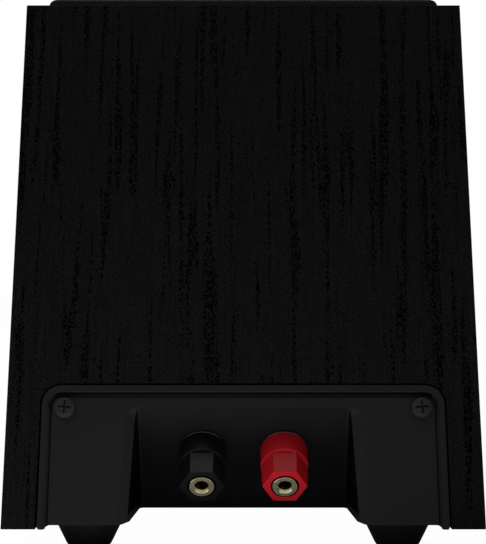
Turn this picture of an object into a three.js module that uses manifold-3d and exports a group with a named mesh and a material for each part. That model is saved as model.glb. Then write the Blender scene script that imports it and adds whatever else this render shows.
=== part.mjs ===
// Wedge-shaped bookshelf speaker: mitred cabinet, terminal cup, two screw terminals, two drivers.
// Millimetres, +Z up, +X to the listener's right, -Y the front, +Y the rear panel's side.
// The origin lies under the middle of the cabinet, on the surface that the feet stand on.

import * as THREE from 'three';
import { mergeVertices } from 'three/addons/utils/BufferGeometryUtils.js';
import Module from 'manifold-3d';

const wasm = await Module();
wasm.setup();

// Cabinet
const cabinetWidth = 156;
const rearSlant = 190.3;
const baffleLength = 235;
const lean = THREE.MathUtils.degToRad(20);
const panelThickness = 12;

// Clearances
const seatGap = 0.3;
const glueGap = 0.3;
const runningGap = 0.25;
const overrun = 5;

// Feet
const footHeight = 9;
const footTopRadius = 11;
const footBottomRadius = 6.6;
const footFillet = 2;
const footSideInset = 26.75;
const footEndInset = 20;

// Terminal cup
const plateSideInset = 11.65;
const plateHeight = 47.7;
const plateBottom = 0.5;
const plateThickness = 3.4;
const plateCorner = 6.3;
const plateClearance = 0.65;
const rimWidth = 2.9;
const fieldDepth = 1.2;
const recessDrop = 6.574;
const recessInset = 42.05;
const recessBottom = 1;
const recessHalfWidth = 35.7;
const recessDraft = THREE.MathUtils.degToRad(3.6);
const flareDepth = 1.9;
const flareSpread = 2.9;
const flareRise = 2.63;
const cupWall = 2.5;
const gasketThickness = 1;
const gasketInset = 1;

// Screws of the cup
const cupScrewInset = 7.45;
const cupScrewDrop = 7.7;
const cupScrewHead = 3.5;
const cupScrewHeadHeight = 2.2;
const cupScrewRadius = 1.7;
const cupScrewLength = 14;

// Screw terminals
const postSpacing = 27.26;
const postDrop = 15.486;
const postReach = 18.87;
const postShoulder = 0.5;
const studRadius = 4.2;
const studShank = 3;
const studInside = 12;
const socketRadius = 2;
const socketDepth = 14;
const socketChamfer = 0.45;
const wireHoleRadius = 1.1;
const wireHoleRise = 1.8;
const shoulderRadius = 7.6;
const capCollarRadius = 7.85;
const capGripFlat = 6.45;
const capGripLength = 9.4;
const capChamfer = 0.5;
const insertWall = 1.9;
const insertLength = 6;
const insertRise = 0.6;
const nutFlat = 5;
const nutClearance = 1;
const nutThickness = 2.5;

// Crossover
const boardLength = 62;
const boardWidth = 56;
const boardThickness = 1.6;
const boardRearInset = 84;
const spacerHeight = 5;
const spacerRadius = 2.8;
const spacerInset = 5;
const capacitorRadius = 6.5;
const capacitorLength = 26;
const coilOuter = 13;
const coilBore = 5;
const coilHeight = 12;
const coilFlange = 1.2;
const coilFlangeRim = 1.5;
const leadRadius = 1.5;

const leadSteps = 9;
const leadReachShare = 0.35;
const resistorLength = 22;
const resistorWidth = 8;

// Screw heads: shares of the head's radius and height
const panFlankShare = 0.45;
const panShoulderShare = 0.7;
const crossShare = 0.5;
const slotShare = 0.3;
const crossDepthShare = 0.7;

// Wadding
const waddingSideInset = 14;
const waddingHeight = 62;
const waddingDepth = 18;
const waddingRise = 58;

// Drivers on the baffle
const tweeterEndMargin = 24;
const wooferEndMargin = 18;
const driverSpacing = 7;
const wooferDiameterShare = 0.6129;

// Woofer
const flangeThickness = 3;
const flushDrop = 0.2;
const flangeRim = 6.5;
const ledgeWidth = 4.5;
const ledgeDepth = 1.5;
const basketWall = 1.6;
const basketDepth = 34;
const basketFoot = 32;
const basketBore = 20;
const windowCount = 6;
const windowWidth = 24;
const windowTop = 8;
const windowHeight = 15;
const coneThickness = 0.8;
const coneRimGap = 5;
const coneRimWidth = 2.4;
const coneNeck = 13.5;
const coneNeckRise = 14;
const rollRadius = 2.7;
const rollSheet = 0.7;
const rollSteps = 4;
const domeSteps = 3;
const lipClearance = 0.4;
const dustCapRadius = 16.5;
const dustCapHeight = 6;
const formerRadius = 12.6;
const formerWall = 0.5;
const windingWall = 0.5;
const windingOverhang = 2.5;
const voiceGap = 0.5;
const spiderRise = 8;
const spiderSheet = 0.6;
const spiderWave = 1.2;
const spiderSteps = 6;
const topPlateRadius = 33;
const topPlateThickness = 4;
const magnetRadius = 40;
const magnetThickness = 15;
const magnetBore = 17;
const yokeRadius = 35;
const yokeThickness = 4;
const wooferScrewInset = 3.2;
const wooferScrewCount = 4;
const driverScrewHead = 2.5;
const driverScrewHeadHeight = 1.5;
const driverScrewRadius = 1.2;
const driverScrewLength = 8;

// Tweeter
const faceThickness = 3;
const throatRadius = 15.6;
const mouthWidth = 7.4;
const mouthDepth = 2.4;
const domeRadius = 12.7;
const domeRise = 4.2;
const domeSheet = 0.4;
const domeRoll = 1.1;
const domeEdge = 17.5;
const domeClearance = 0.45;
const tweeterCoilWall = 0.5;
const tweeterCoilLength = 4.5;
const tweeterPlateInset = 1;
const tweeterPlateThickness = 3;
const tweeterMagnetInset = 8;
const tweeterMagnetThickness = 8;
const tweeterMagnetBore = 15;
const tweeterYokeInset = 2;
const tweeterYokeThickness = 3;
const tweeterScrewInset = 3.6;
const tweeterScrewCount = 3;

// Grille
const grilleInset = 6.85;
const grilleHeight = 6.85;
const grilleCorner = 3.4;
const grilleEdge = 1.8;
const grilleCloth = 0.7;
const grilleFrameWidth = 10;
const grilleBarWidth = 8;
const pegRadius = 2.2;
const pegLength = 7;
const pegInset = 7.6;
const cupRimRadius = 3.9;
const cupSocketDepth = 8.5;
const pegClearance = 0.35;

// Facets round a piece, by its size and by whether it shows
const tiny = 8;
const small = 12;
const hidden = 16;
const medium = 22;
const large = 28;
const cornerFacets = 4;
const filletFacets = 3;
const gripSides = 6;

// Places that follow from the sizes, in the side view
const rearRise = rearSlant * Math.cos(lean);
const rearRun = rearSlant * Math.sin(lean);
const rearY = (rearRun + baffleLength * Math.cos(lean)) / 2;
const rearFoot = { y: rearY, z: footHeight };
const ridge = { y: rearY - rearRun, z: footHeight + rearRise };
const frontTop = {
  y: ridge.y - baffleLength * Math.cos(lean),
  z: ridge.z - baffleLength * Math.sin(lean),
};
const frontFoot = {
  y: frontTop.y + (frontTop.z - footHeight) * Math.tan(lean),
  z: footHeight,
};
const outline = [rearFoot, ridge, frontTop, frontFoot];
const edges = Object.fromEntries(['rear', 'top', 'front', 'base'].map((name, k) => [name, k]));
const inside = insetOutline(outline, panelThickness);
const halfWidth = cabinetWidth / 2;
const halfInside = halfWidth - panelThickness;

// The recess wall runs from the plate's surface down to its lower edge, inset from the rear foot.
const recessTop = (plateBottom + plateHeight - recessDrop) * Math.cos(lean);
const wallTop = { inset: recessTop * Math.tan(lean), height: recessTop };
const wallFoot = { inset: recessInset, height: recessBottom };
const wallTilt = Math.atan2(wallFoot.inset - wallTop.inset, wallTop.height - wallFoot.height);
const pocketDepth = plateThickness + gasketThickness + 2 * seatGap;
const plateWidth = cabinetWidth - 2 * plateSideInset;
const cupScrewSpacing = plateWidth - 2 * cupScrewInset;
const cupScrewHeight = plateBottom + plateHeight - cupScrewDrop;
const driverRoom = baffleLength - tweeterEndMargin - driverSpacing - wooferEndMargin;
const flangeRadius = (driverRoom * wooferDiameterShare) / 2;
const faceRadius = driverRoom / 2 - flangeRadius;
const tweeterPlace = tweeterEndMargin + faceRadius;
const wooferPlace = baffleLength - wooferEndMargin - flangeRadius;
const ledgeOuter = flangeRadius - flangeRim;
const ledgeInner = ledgeOuter - ledgeWidth;
const coneOuter = ledgeInner - coneRimGap;
const mouthRadius = throatRadius + mouthWidth;
const tweeterMagnetRadius = faceRadius - tweeterMagnetInset;
const frameFloor = -flushDrop - flangeThickness;
const topPlateFace = -basketDepth - seatGap;
const magnetFace = topPlateFace - topPlateThickness - seatGap;
const yokeFace = magnetFace - magnetThickness - seatGap;
const lipFloor = -flushDrop - ledgeDepth + seatGap;
const coneRim = lipFloor - seatGap;
const coneDepth = basketDepth - coneNeckRise;
const spiderDepth = basketDepth - spiderRise;
const faceFloor = -flushDrop - faceThickness;
const domeFloor = faceFloor - domeClearance - domeSheet;
const tweeterPlateFace = domeFloor - domeClearance;
const tweeterMagnetFace = tweeterPlateFace - tweeterPlateThickness - seatGap;
const tweeterYokeFace = tweeterMagnetFace - tweeterMagnetThickness - seatGap;
const grilleWidth = cabinetWidth - 2 * grilleInset;
const grilleLength = baffleLength - 2 * grilleInset;
const grilleMiddle = baffleLength / 2;
const insertRadius = studRadius + runningGap + insertWall;
const collarFoot = postShoulder + 2 * seatGap;
const gripFoot = postReach - capGripLength;
const boardFloor = footHeight + panelThickness + spacerHeight;
const boardMiddle = rearY - boardRearInset - boardLength / 2;
const postSeat = onWall(recessTop - postDrop);

// Finishes
const finishes = {
  vinyl: finish('#1a1816', 0.5, 0),
  baffle: finish('#131313', 0.7, 0),
  cup: finish('#1d1d1e', 0.4, 0),
  foam: finish('#26262a', 0.95, 0),
  steelBlack: finish('#222224', 0.35, 0.6),
  brass: finish('#b79a5e', 0.3, 1),
  capBlack: finish('#1b1b1c', 0.35, 0),
  capRed: finish('#9c1418', 0.35, 0),
  rubber: finish('#161616', 0.8, 0),
  board: finish('#8a6a3c', 0.7, 0),
  film: finish('#c8a12c', 0.4, 0),
  ceramic: finish('#d9d5c8', 0.8, 0),
  copper: finish('#b5683a', 0.35, 0.8),
  leadRed: finish('#a01a1a', 0.5, 0),
  leadBlack: finish('#1c1c1c', 0.5, 0),
  wadding: finish('#e6e4df', 1, 0),
  ferrite: finish('#3a3a3c', 0.6, 0.2),
  zinc: finish('#b9bcbf', 0.35, 0.9),
  cone: finish('#2a2a2c', 0.6, 0),
  spider: finish('#c07a34', 0.9, 0),
  dome: finish('#3b3b40', 0.5, 0),
  cloth: finish('#1b1b1b', 1, 0),
  grilleFrame: finish('#1a1a1a', 0.6, 0),
};

function finish(color, roughness, metalness) {
  return new THREE.MeshStandardMaterial({ color, roughness, metalness, flatShading: true });
}

// Corner points of a convex side-view outline moved inwards by one distance on every side.
function insetOutline(corners, distance) {
  const count = corners.length;
  const lines = corners.map((corner, k) => {
    const next = corners[(k + 1) % count];
    const length = Math.hypot(next.y - corner.y, next.z - corner.z);
    const along = { y: (next.y - corner.y) / length, z: (next.z - corner.z) / length };
    return {
      along,
      y: corner.y - distance * along.z,
      z: corner.z + distance * along.y,
    };
  });
  return lines.map((line, k) => {
    const before = lines[(k + count - 1) % count];
    const cross = before.along.y * line.along.z - before.along.z * line.along.y;
    const step = ((line.y - before.y) * line.along.z - (line.z - before.z) * line.along.y) / cross;
    return { y: before.y + step * before.along.y, z: before.z + step * before.along.z };
  });
}

// A point between two corners, moved from the first towards the second by a distance.
function movedTowards(from, to, distance) {
  const length = Math.hypot(to.y - from.y, to.z - from.z);
  return {
    y: from.y + ((to.y - from.y) * distance) / length,
    z: from.z + ((to.z - from.z) * distance) / length,
  };
}

// A six-sided body whose eight corners are given by their signs.
function cornerBody(cornerAt) {
  const body = new THREE.BoxGeometry(1, 1, 1);
  const places = body.getAttribute('position');
  for (let i = 0; i < places.count; i += 1) {
    const signs = [places.getX(i), places.getY(i), places.getZ(i)].map(Math.sign);
    places.setXYZ(i, ...cornerAt(...signs));
  }
  return body;
}

// A body turned about its own Y axis; the outline is a list of [radius, height], either way round.
function turned(points, facets, closed = true) {
  const outlinePoints = points.map(([radius, height]) => new THREE.Vector2(radius, height));
  if (THREE.ShapeUtils.area(outlinePoints) < 0) outlinePoints.reverse();
  if (closed) outlinePoints.push(outlinePoints[0].clone());
  return new THREE.LatheGeometry(outlinePoints, facets);
}

// A body on the axis: its outline runs from the axis, round, and back to the axis.
function turnedSolid(points, facets) {
  return turned(points, facets, false);
}

function tubeOutline(inner, outer, low, high) {
  return [[inner, low], [outer, low], [outer, high], [inner, high]];
}

function roundedRectangle(width, height, radius, squareFoot = false) {
  const shape = new THREE.Shape();
  const footRadius = squareFoot ? 0 : radius;
  const right = width / 2;
  const top = height / 2;
  shape.moveTo(footRadius - right, -top);
  shape.lineTo(right - footRadius, -top);
  if (footRadius > 0) shape.absarc(right - radius, radius - top, radius, -Math.PI / 2, 0, false);
  shape.lineTo(right, top - radius);
  shape.absarc(right - radius, top - radius, radius, 0, Math.PI / 2, false);
  shape.absarc(radius - right, top - radius, radius, Math.PI / 2, Math.PI, false);
  shape.lineTo(-right, footRadius - top);
  if (footRadius > 0) {
    shape.absarc(radius - right, radius - top, radius, Math.PI, (3 * Math.PI) / 2, false);
  }
  return shape;
}

// A flat outline drawn in width and height, given a thickness along the group's Y axis.
function slab(shape, back, front, curveSegments) {
  const body = new THREE.ExtrudeGeometry(shape, {
    depth: front - back,
    bevelEnabled: false,
    curveSegments,
  });
  return body.rotateX(Math.PI / 2).translate(0, front, 0);
}

function polygonShape(sides, flat) {
  const corner = flat / Math.cos(Math.PI / sides);
  const points = [];
  for (let k = 0; k < sides; k += 1) {
    const angle = (2 * Math.PI * k) / sides;
    points.push(new THREE.Vector2(corner * Math.cos(angle), corner * Math.sin(angle)));
  }
  return new THREE.Shape(points);
}

function drill(radius, low, high, facets = hidden) {
  const body = new THREE.CylinderGeometry(radius, radius, high - low, facets);
  return body.translate(0, (low + high) / 2, 0);
}

// Shared corners merged and empty triangles dropped, so that the surface closes.
function closedSurface(geometry) {
  const bare = new THREE.BufferGeometry();
  bare.setAttribute('position', geometry.getAttribute('position').clone());
  if (geometry.index) bare.setIndex(geometry.index.clone());
  const merged = mergeVertices(bare);
  const corners = merged.index.array;
  const kept = [];
  for (let i = 0; i < corners.length; i += 3) {
    const [a, b, c] = [corners[i], corners[i + 1], corners[i + 2]];
    if (a !== b && b !== c && c !== a) kept.push(a, b, c);
  }
  merged.setIndex(kept);
  return merged;
}

function solidOf(geometry) {
  const surface = closedSurface(geometry);
  return new wasm.Manifold(new wasm.Mesh({
    numProp: 3,
    vertProperties: new Float32Array(surface.getAttribute('position').array),
    triVerts: new Uint32Array(surface.index.array),
  }));
}

function surfaceOf(solid) {
  const mesh = solid.getMesh();
  const geometry = new THREE.BufferGeometry();
  geometry.setAttribute('position', new THREE.BufferAttribute(mesh.vertProperties, 3));
  geometry.setIndex(new THREE.BufferAttribute(mesh.triVerts, 1));
  return geometry;
}

function cut(body, ...tools) {
  return surfaceOf(tools.reduce((rest, tool) => rest.subtract(solidOf(tool)), solidOf(body)));
}

function joined(...bodies) {
  const [first, ...others] = bodies.map(solidOf);
  return surfaceOf(others.reduce((whole, body) => whole.add(body), first));
}

function piece(name, geometry, material) {
  const mesh = new THREE.Mesh(closedSurface(geometry), material);
  mesh.name = name;
  return mesh;
}

function assembly(pieces, place = [0, 0, 0], turn = 0) {
  const group = new THREE.Group();
  group.position.set(...place);
  group.rotation.x = turn;
  group.add(...pieces);
  return group;
}

// The frames that pieces are drawn in. On the rear panel Y points out of it and Z up its slope;
// on the baffle Y points out of it and Z down to the front.
const onRear = { place: [0, rearFoot.y, rearFoot.z], turn: lean };
const onBaffle = { place: [0, ridge.y, ridge.z], turn: Math.PI / 2 + lean };

function carried(geometry, frame) {
  return geometry.rotateX(frame.turn).translate(...frame.place);
}

// A side-view place measured from the rear foot, in the rear panel's own frame.
function rearPlace(inset, height) {
  return {
    out: height * Math.sin(lean) - inset * Math.cos(lean),
    up: height * Math.cos(lean) + inset * Math.sin(lean),
  };
}

// A place on the recess wall's plane, moved back by an offset, at a height over the base.
function onWall(height, offset = 0) {
  const inset = wallTop.inset + (wallTop.height - height) * Math.tan(wallTilt)
    + offset / Math.cos(wallTilt);
  return { inset, height };
}

// The wall's plane, moved back by an offset, where it meets a depth in the rear panel's frame.
function wallAtDepth(out, offset) {
  const base = onWall(0, offset);
  const from = rearPlace(base.inset, base.height);
  const rise = onWall(recessTop, offset);
  const to = rearPlace(rise.inset, rise.height);
  const share = (out - from.out) / (to.out - from.out);
  return { out, up: from.up + share * (to.up - from.up) };
}

// How far a point of the rear panel's frame stands in front of the recess wall.
function beforeWall(point) {
  const foot = rearPlace(wallFoot.inset, wallFoot.height);
  const angle = wallTilt + lean;
  return (point.out - foot.out) * Math.cos(angle) - (point.up - foot.up) * Math.sin(angle);
}

// The recess as a body: its back follows the wall, its sides spread towards the plate.
// It is closed towards the plate by two depths, and below by a height over the base.
function recessBody(offset, bottomHeight, topOut, frontOut) {
  const backTop = wallAtDepth(topOut, offset);
  const wallLow = onWall(bottomHeight, offset);
  const corners = {
    backTop,
    frontTop: { out: frontOut, up: backTop.up },
    backFoot: rearPlace(wallLow.inset, wallLow.height),
    frontFoot: { out: frontOut, up: upAtHeight(bottomHeight, frontOut) },
  };
  return cornerBody((sx, sy, sz) => {
    const point = corners[(sy > 0 ? 'front' : 'back') + (sz > 0 ? 'Top' : 'Foot')];
    return [sx * (recessHalf(point) + offset), point.out, point.up];
  });
}

function upAtHeight(height, out) {
  return (height - out * Math.sin(lean)) / Math.cos(lean);
}

function recessHalf(point) {
  return recessHalfWidth + beforeWall(point) * Math.tan(recessDraft);
}

// The chamfer where the recess meets the plate, at its sides and along its top.
function recessFlareBody() {
  const deep = -fieldDepth - flareDepth;
  const reach = flareDepth + overrun;
  const spread = (reach * flareSpread) / flareDepth;
  const top = wallAtDepth(deep, 0).up;
  const rise = (reach * flareRise) / flareDepth;
  return cornerBody((sx, sy, sz) => {
    const outer = sy > 0;
    const out = outer ? deep + reach : deep;
    const up = sz > 0 ? top + (outer ? rise : 0) : upAtHeight(-overrun, out);
    return [sx * (recessHalf({ out, up }) + (outer ? spread : 0)), out, up];
  });
}

function plateOutline(grow, squareFoot) {
  return roundedRectangle(plateWidth + 2 * grow, plateHeight + 2 * grow, plateCorner + grow, squareFoot);
}

// The pocket in the rear panel, open at the base edge.
function platePocket() {
  const shape = plateOutline(plateClearance, true);
  const middle = plateBottom + plateHeight / 2;
  const pocket = slab(shape, -pocketDepth, overrun, cornerFacets).translate(0, 0, middle);
  const below = plateBottom + overrun;
  const foot = new THREE.BoxGeometry(plateWidth + 2 * plateClearance, pocketDepth + overrun, 2 * below);
  foot.translate(0, (overrun - pocketDepth) / 2, 0);
  return surfaceOf(solidOf(pocket).add(solidOf(foot)));
}

// Mitred panel between two corners of the side-view outline.
function panelBetween(k) {
  const next = (k + 1) % outline.length;
  const shift = glueGap / Math.SQRT2;
  const ends = {
    outerLow: movedTowards(outline[k], outline[next], shift),
    outerHigh: movedTowards(outline[next], outline[k], shift),
    innerLow: movedTowards(inside[k], inside[next], shift),
    innerHigh: movedTowards(inside[next], inside[k], shift),
  };
  return cornerBody((sx, sy, sz) => {
    const place = ends[(sy > 0 ? 'outer' : 'inner') + (sz > 0 ? 'High' : 'Low')];
    const half = (sy > 0 ? halfWidth : halfInside) - shift;
    return [sx * half, place.y, place.z];
  });
}

function sidePanel(side) {
  const shift = glueGap / Math.SQRT2;
  const outer = insetOutline(outline, shift);
  const inner = insetOutline(inside, shift);
  const cornerIndex = (sy, sz) => {
    if (sy > 0) return sz > 0 ? edges.top : edges.rear;
    return sz > 0 ? edges.front : edges.base;
  };
  return cornerBody((sx, sy, sz) => {
    const isOuter = sx === side;
    const place = (isOuter ? outer : inner)[cornerIndex(sy, sz)];
    return [side * (isOuter ? halfWidth : halfInside), place.y, place.z];
  });
}

function cupScrewPlaces() {
  return [-1, 1].map((side) => [(side * cupScrewSpacing) / 2, cupScrewHeight]);
}

// Room in the panel behind each nut, along its post.
function nutRooms() {
  const radius = nutFlat / Math.cos(Math.PI / gripSides) + nutClearance;
  const seat = rearPlace(postSeat.inset, postSeat.height);
  return [-1, 1].map((side) => carried(
    drill(radius, -studInside - nutClearance, overrun, small)
      .rotateX(-wallTilt - lean)
      .translate((side * postSpacing) / 2, seat.out, seat.up),
    onRear,
  ));
}

function backPanel() {
  const pilots = cupScrewPlaces().map(([x, up]) => {
    const pilot = drill(cupScrewRadius + seatGap, -panelThickness - overrun, overrun, small);
    return carried(pilot.translate(x, 0, up), onRear);
  });
  const notch = recessBody(cupWall + plateClearance, -overrun, overrun, 2 * overrun);
  return cut(
    panelBetween(edges.rear),
    carried(platePocket(), onRear),
    carried(notch, onRear),
    ...pilots,
    ...nutRooms(),
  );
}

function bottomPanel() {
  const notch = recessBody(cupWall + plateClearance, -overrun, overrun, 2 * overrun);
  return cut(panelBetween(edges.base), carried(platePocket(), onRear), carried(notch, onRear));
}

function circlePlaces(count, radius, turn) {
  const places = [];
  for (let k = 0; k < count; k += 1) {
    const angle = turn + (2 * Math.PI * k) / count;
    places.push([radius * Math.cos(angle), radius * Math.sin(angle)]);
  }
  return places;
}

function wooferScrewPlaces() {
  return circlePlaces(wooferScrewCount, flangeRadius - wooferScrewInset, Math.PI / wooferScrewCount);
}

function tweeterScrewPlaces() {
  return circlePlaces(tweeterScrewCount, faceRadius - tweeterScrewInset, Math.PI / 2);
}

function pegPlaces() {
  const x = halfWidth - grilleInset - pegInset;
  const z = grilleLength / 2 - pegInset;
  return [[-x, -z], [x, -z], [-x, z], [x, z]].map(([px, pz]) => [px, grilleMiddle + pz]);
}

function driverPilots(places, middle) {
  const radius = driverScrewRadius + seatGap;
  const low = -driverScrewLength - flushDrop - seatGap;
  return places.map(([x, z]) => drill(radius, low, overrun, tiny).translate(x, 0, middle + z));
}

function baffleBoard() {
  const through = -panelThickness - overrun;
  const basketRadius = basketAt(frameFloor) + basketWall + plateClearance;
  const tools = [
    drill(flangeRadius + plateClearance, frameFloor - seatGap, overrun, large)
      .translate(0, 0, wooferPlace),
    drill(basketRadius, through, overrun, large).translate(0, 0, wooferPlace),
    drill(faceRadius + plateClearance, faceFloor - seatGap, overrun, large)
      .translate(0, 0, tweeterPlace),
    drill(tweeterMagnetRadius + plateClearance, through, overrun, medium)
      .translate(0, 0, tweeterPlace),
    ...driverPilots(wooferScrewPlaces(), wooferPlace),
    ...driverPilots(tweeterScrewPlaces(), tweeterPlace),
    ...pegPlaces().map(([x, z]) => (
      drill(cupRimRadius + seatGap, -cupSocketDepth - seatGap, overrun, small).translate(x, 0, z)
    )),
  ];
  return cut(panelBetween(edges.top), ...tools.map((tool) => carried(tool, onBaffle)));
}

function cabinet() {
  const { vinyl, baffle } = finishes;
  return assembly([
    piece('side_panel_left', sidePanel(-1), vinyl),
    piece('side_panel_right', sidePanel(1), vinyl),
    piece('back_panel', backPanel(), vinyl),
    piece('baffle_board', baffleBoard(), baffle),
    piece('front_panel', panelBetween(edges.front), vinyl),
    piece('bottom_panel', bottomPanel(), vinyl),
  ]);
}

function foot() {
  const points = [[0, 0], [footBottomRadius - footFillet, 0]];
  const flank = (footTopRadius - footBottomRadius) / footHeight;
  for (let k = 1; k <= filletFacets; k += 1) {
    const angle = (k * Math.PI) / (2 * filletFacets);
    points.push([
      footBottomRadius - footFillet + footFillet * (Math.sin(angle) + flank * (1 - Math.cos(angle))),
      footFillet * (1 - Math.cos(angle)),
    ]);
  }
  points.push([footTopRadius, footHeight], [0, footHeight]);
  return turnedSolid(points, medium).rotateX(Math.PI / 2);
}

function feet() {
  const x = halfWidth - footSideInset;
  const rear = rearFoot.y - footEndInset;
  const front = frontFoot.y + footEndInset;
  const places = {
    foot_rear_left: [-x, rear],
    foot_rear_right: [x, rear],
    foot_front_left: [-x, front],
    foot_front_right: [x, front],
  };
  return Object.entries(places).map(([name, [px, py]]) => (
    assembly([piece(name, foot(), finishes.rubber)], [px, py, 0])
  ));
}

// The moulded cup: plate with a raised rim, recess bucket, and holes for posts and screws.
function terminalCup() {
  const middle = plateBottom + plateHeight / 2;
  const plate = slab(plateOutline(0, true), -plateThickness, 0, cornerFacets).translate(0, 0, middle);
  const fieldWidth = plateWidth - 2 * rimWidth;
  const fieldShape = roundedRectangle(fieldWidth, plateHeight, plateCorner - rimWidth, true);
  const field = slab(fieldShape, -fieldDepth, overrun, cornerFacets).translate(0, 0, middle - rimWidth);
  const bucketFront = -(plateThickness + fieldDepth) / 2;
  const bucket = recessBody(cupWall, recessBottom, -plateThickness, bucketFront);
  const moulding = surfaceOf(solidOf(plate).subtract(solidOf(field)).add(solidOf(bucket)));
  const screwHoles = cupScrewPlaces().map(([x, up]) => (
    drill(cupScrewRadius + seatGap, -plateThickness - overrun, overrun, small).translate(x, 0, up)
  ));
  const seat = rearPlace(postSeat.inset, postSeat.height);
  const postHoles = [-1, 1].map((side) => (
    drill(studShank + seatGap, -cupWall - overrun, overrun)
      .rotateX(-wallTilt - lean)
      .translate((side * postSpacing) / 2, seat.out, seat.up)
  ));
  const hollow = recessBody(0, -overrun, overrun, 2 * overrun);
  return cut(moulding, hollow, recessFlareBody(), ...screwHoles, ...postHoles);
}

function terminalGasket() {
  const middle = plateBottom + plateHeight / 2;
  const back = -plateThickness - seatGap - gasketThickness;
  const sheet = slab(plateOutline(-gasketInset, true), back, back + gasketThickness, cornerFacets)
    .translate(0, 0, middle);
  const opening = recessBody(cupWall + seatGap, -overrun, overrun, 2 * overrun);
  const holes = cupScrewPlaces().map(([x, up]) => (
    drill(cupScrewRadius + seatGap, back - overrun, overrun, small).translate(x, 0, up)
  ));
  return cut(sheet, opening, ...holes);
}

// A cross-recessed pan head on a plain shank, its seat at the height zero.
function panScrew(headRadius, headHeight, shankRadius, length, facets) {
  const screw = turnedSolid([
    [0, -length],
    [shankRadius, -length + shankRadius],
    [shankRadius, 0],
    [headRadius, 0],
    [headRadius, headHeight * panFlankShare],
    [headRadius * panShoulderShare, headHeight],
    [0, headHeight],
  ], facets);
  const arm = 2 * headRadius * crossShare;
  const slot = arm * slotShare;
  const depth = headHeight * crossDepthShare;
  const cross = [[arm, slot], [slot, arm]].map(([x, z]) => (
    new THREE.BoxGeometry(x, 2 * depth, z).translate(0, headHeight, 0)
  ));
  return cut(screw, ...cross);
}

function terminalPlateAssembly() {
  const screws = cupScrewPlaces().map(([x, up]) => {
    const name = x < 0 ? 'cup_screw_left' : 'cup_screw_right';
    const body = panScrew(cupScrewHead, cupScrewHeadHeight, cupScrewRadius, cupScrewLength, medium);
    const screw = piece(name, body, finishes.steelBlack);
    screw.position.set(x, seatGap - fieldDepth, up);
    return screw;
  });
  return assembly([
    piece('terminal_cup', terminalCup(), finishes.cup),
    piece('terminal_gasket', terminalGasket(), finishes.foam),
    ...screws,
  ], onRear.place, onRear.turn);
}

// Brass stud: shank through the wall, shoulder on it, threaded tube with a socket bore.
function postStud() {
  const shoulderTop = seatGap + postShoulder;
  const stud = turnedSolid([
    [0, -studInside],
    [studShank, -studInside],
    [studShank, seatGap],
    [shoulderRadius, seatGap],
    [shoulderRadius, shoulderTop],
    [studRadius, shoulderTop],
    [studRadius, postReach],
    [socketRadius + socketChamfer, postReach],
    [socketRadius, postReach - socketChamfer],
    [socketRadius, postReach - socketDepth],
    [0, postReach - socketDepth],
  ], medium);
  const wireHole = drill(wireHoleRadius, -studRadius - overrun, studRadius + overrun, tiny)
    .rotateZ(Math.PI / 2)
    .translate(0, shoulderTop + wireHoleRise, 0);
  return cut(stud, wireHole);
}

// Screw cap: round collar at the wall, six-sided grip towards the tip, hollow for the insert.
function postCap() {
  const collar = turnedSolid([
    [0, collarFoot],
    [capCollarRadius - capChamfer, collarFoot],
    [capCollarRadius, collarFoot + capChamfer],
    [capCollarRadius, gripFoot - capChamfer],
    [capCollarRadius - capChamfer, gripFoot],
    [0, gripFoot],
  ], medium);
  const grip = new THREE.ExtrudeGeometry(polygonShape(gripSides, capGripFlat), {
    depth: capGripLength - capChamfer,
    bevelThickness: capChamfer,
    bevelSize: capChamfer,
    bevelOffset: -capChamfer,
    bevelSegments: 1,
  }).rotateX(-Math.PI / 2).translate(0, gripFoot, 0);
  const hollowTop = collarFoot + insertRise + insertLength + seatGap;
  return cut(
    joined(collar, grip),
    drill(studRadius + runningGap, -overrun, postReach + overrun, medium),
    drill(insertRadius + runningGap, -overrun, hollowTop, medium),
  );
}

function postInsert() {
  const low = collarFoot + insertRise;
  return turned(tubeOutline(studRadius + runningGap, insertRadius, low, low + insertLength), hidden);
}

function postNut() {
  const high = -cupWall - seatGap;
  const shape = polygonShape(gripSides, nutFlat);
  const nut = slab(shape, high - nutThickness, high, 1);
  return cut(nut, drill(studShank + seatGap, -postReach, overrun));
}

function post(color, side, capFinish) {
  const name = `post_${color}`;
  return assembly([
    piece(`${name}_stud`, postStud(), finishes.brass),
    piece(`${name}_cap`, postCap(), capFinish),
    piece(`${name}_insert`, postInsert(), finishes.brass),
    piece(`${name}_nut`, postNut(), finishes.zinc),
  ], [
    (side * postSpacing) / 2,
    rearFoot.y - postSeat.inset,
    rearFoot.z + postSeat.height,
  ], -wallTilt);
}

// Basket's inner radius at a depth behind the baffle.
function basketAt(depth) {
  const low = basketWall - basketDepth;
  const share = (depth - frameFloor) / (low - frameFloor);
  return ledgeInner + share * (basketFoot - basketWall - ledgeInner);
}

// Its outer radius there.
function basketOuterAt(depth) {
  const share = (depth - frameFloor) / (-basketDepth - frameFloor);
  return ledgeInner + basketWall + share * (basketFoot - basketWall - ledgeInner);
}

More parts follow.
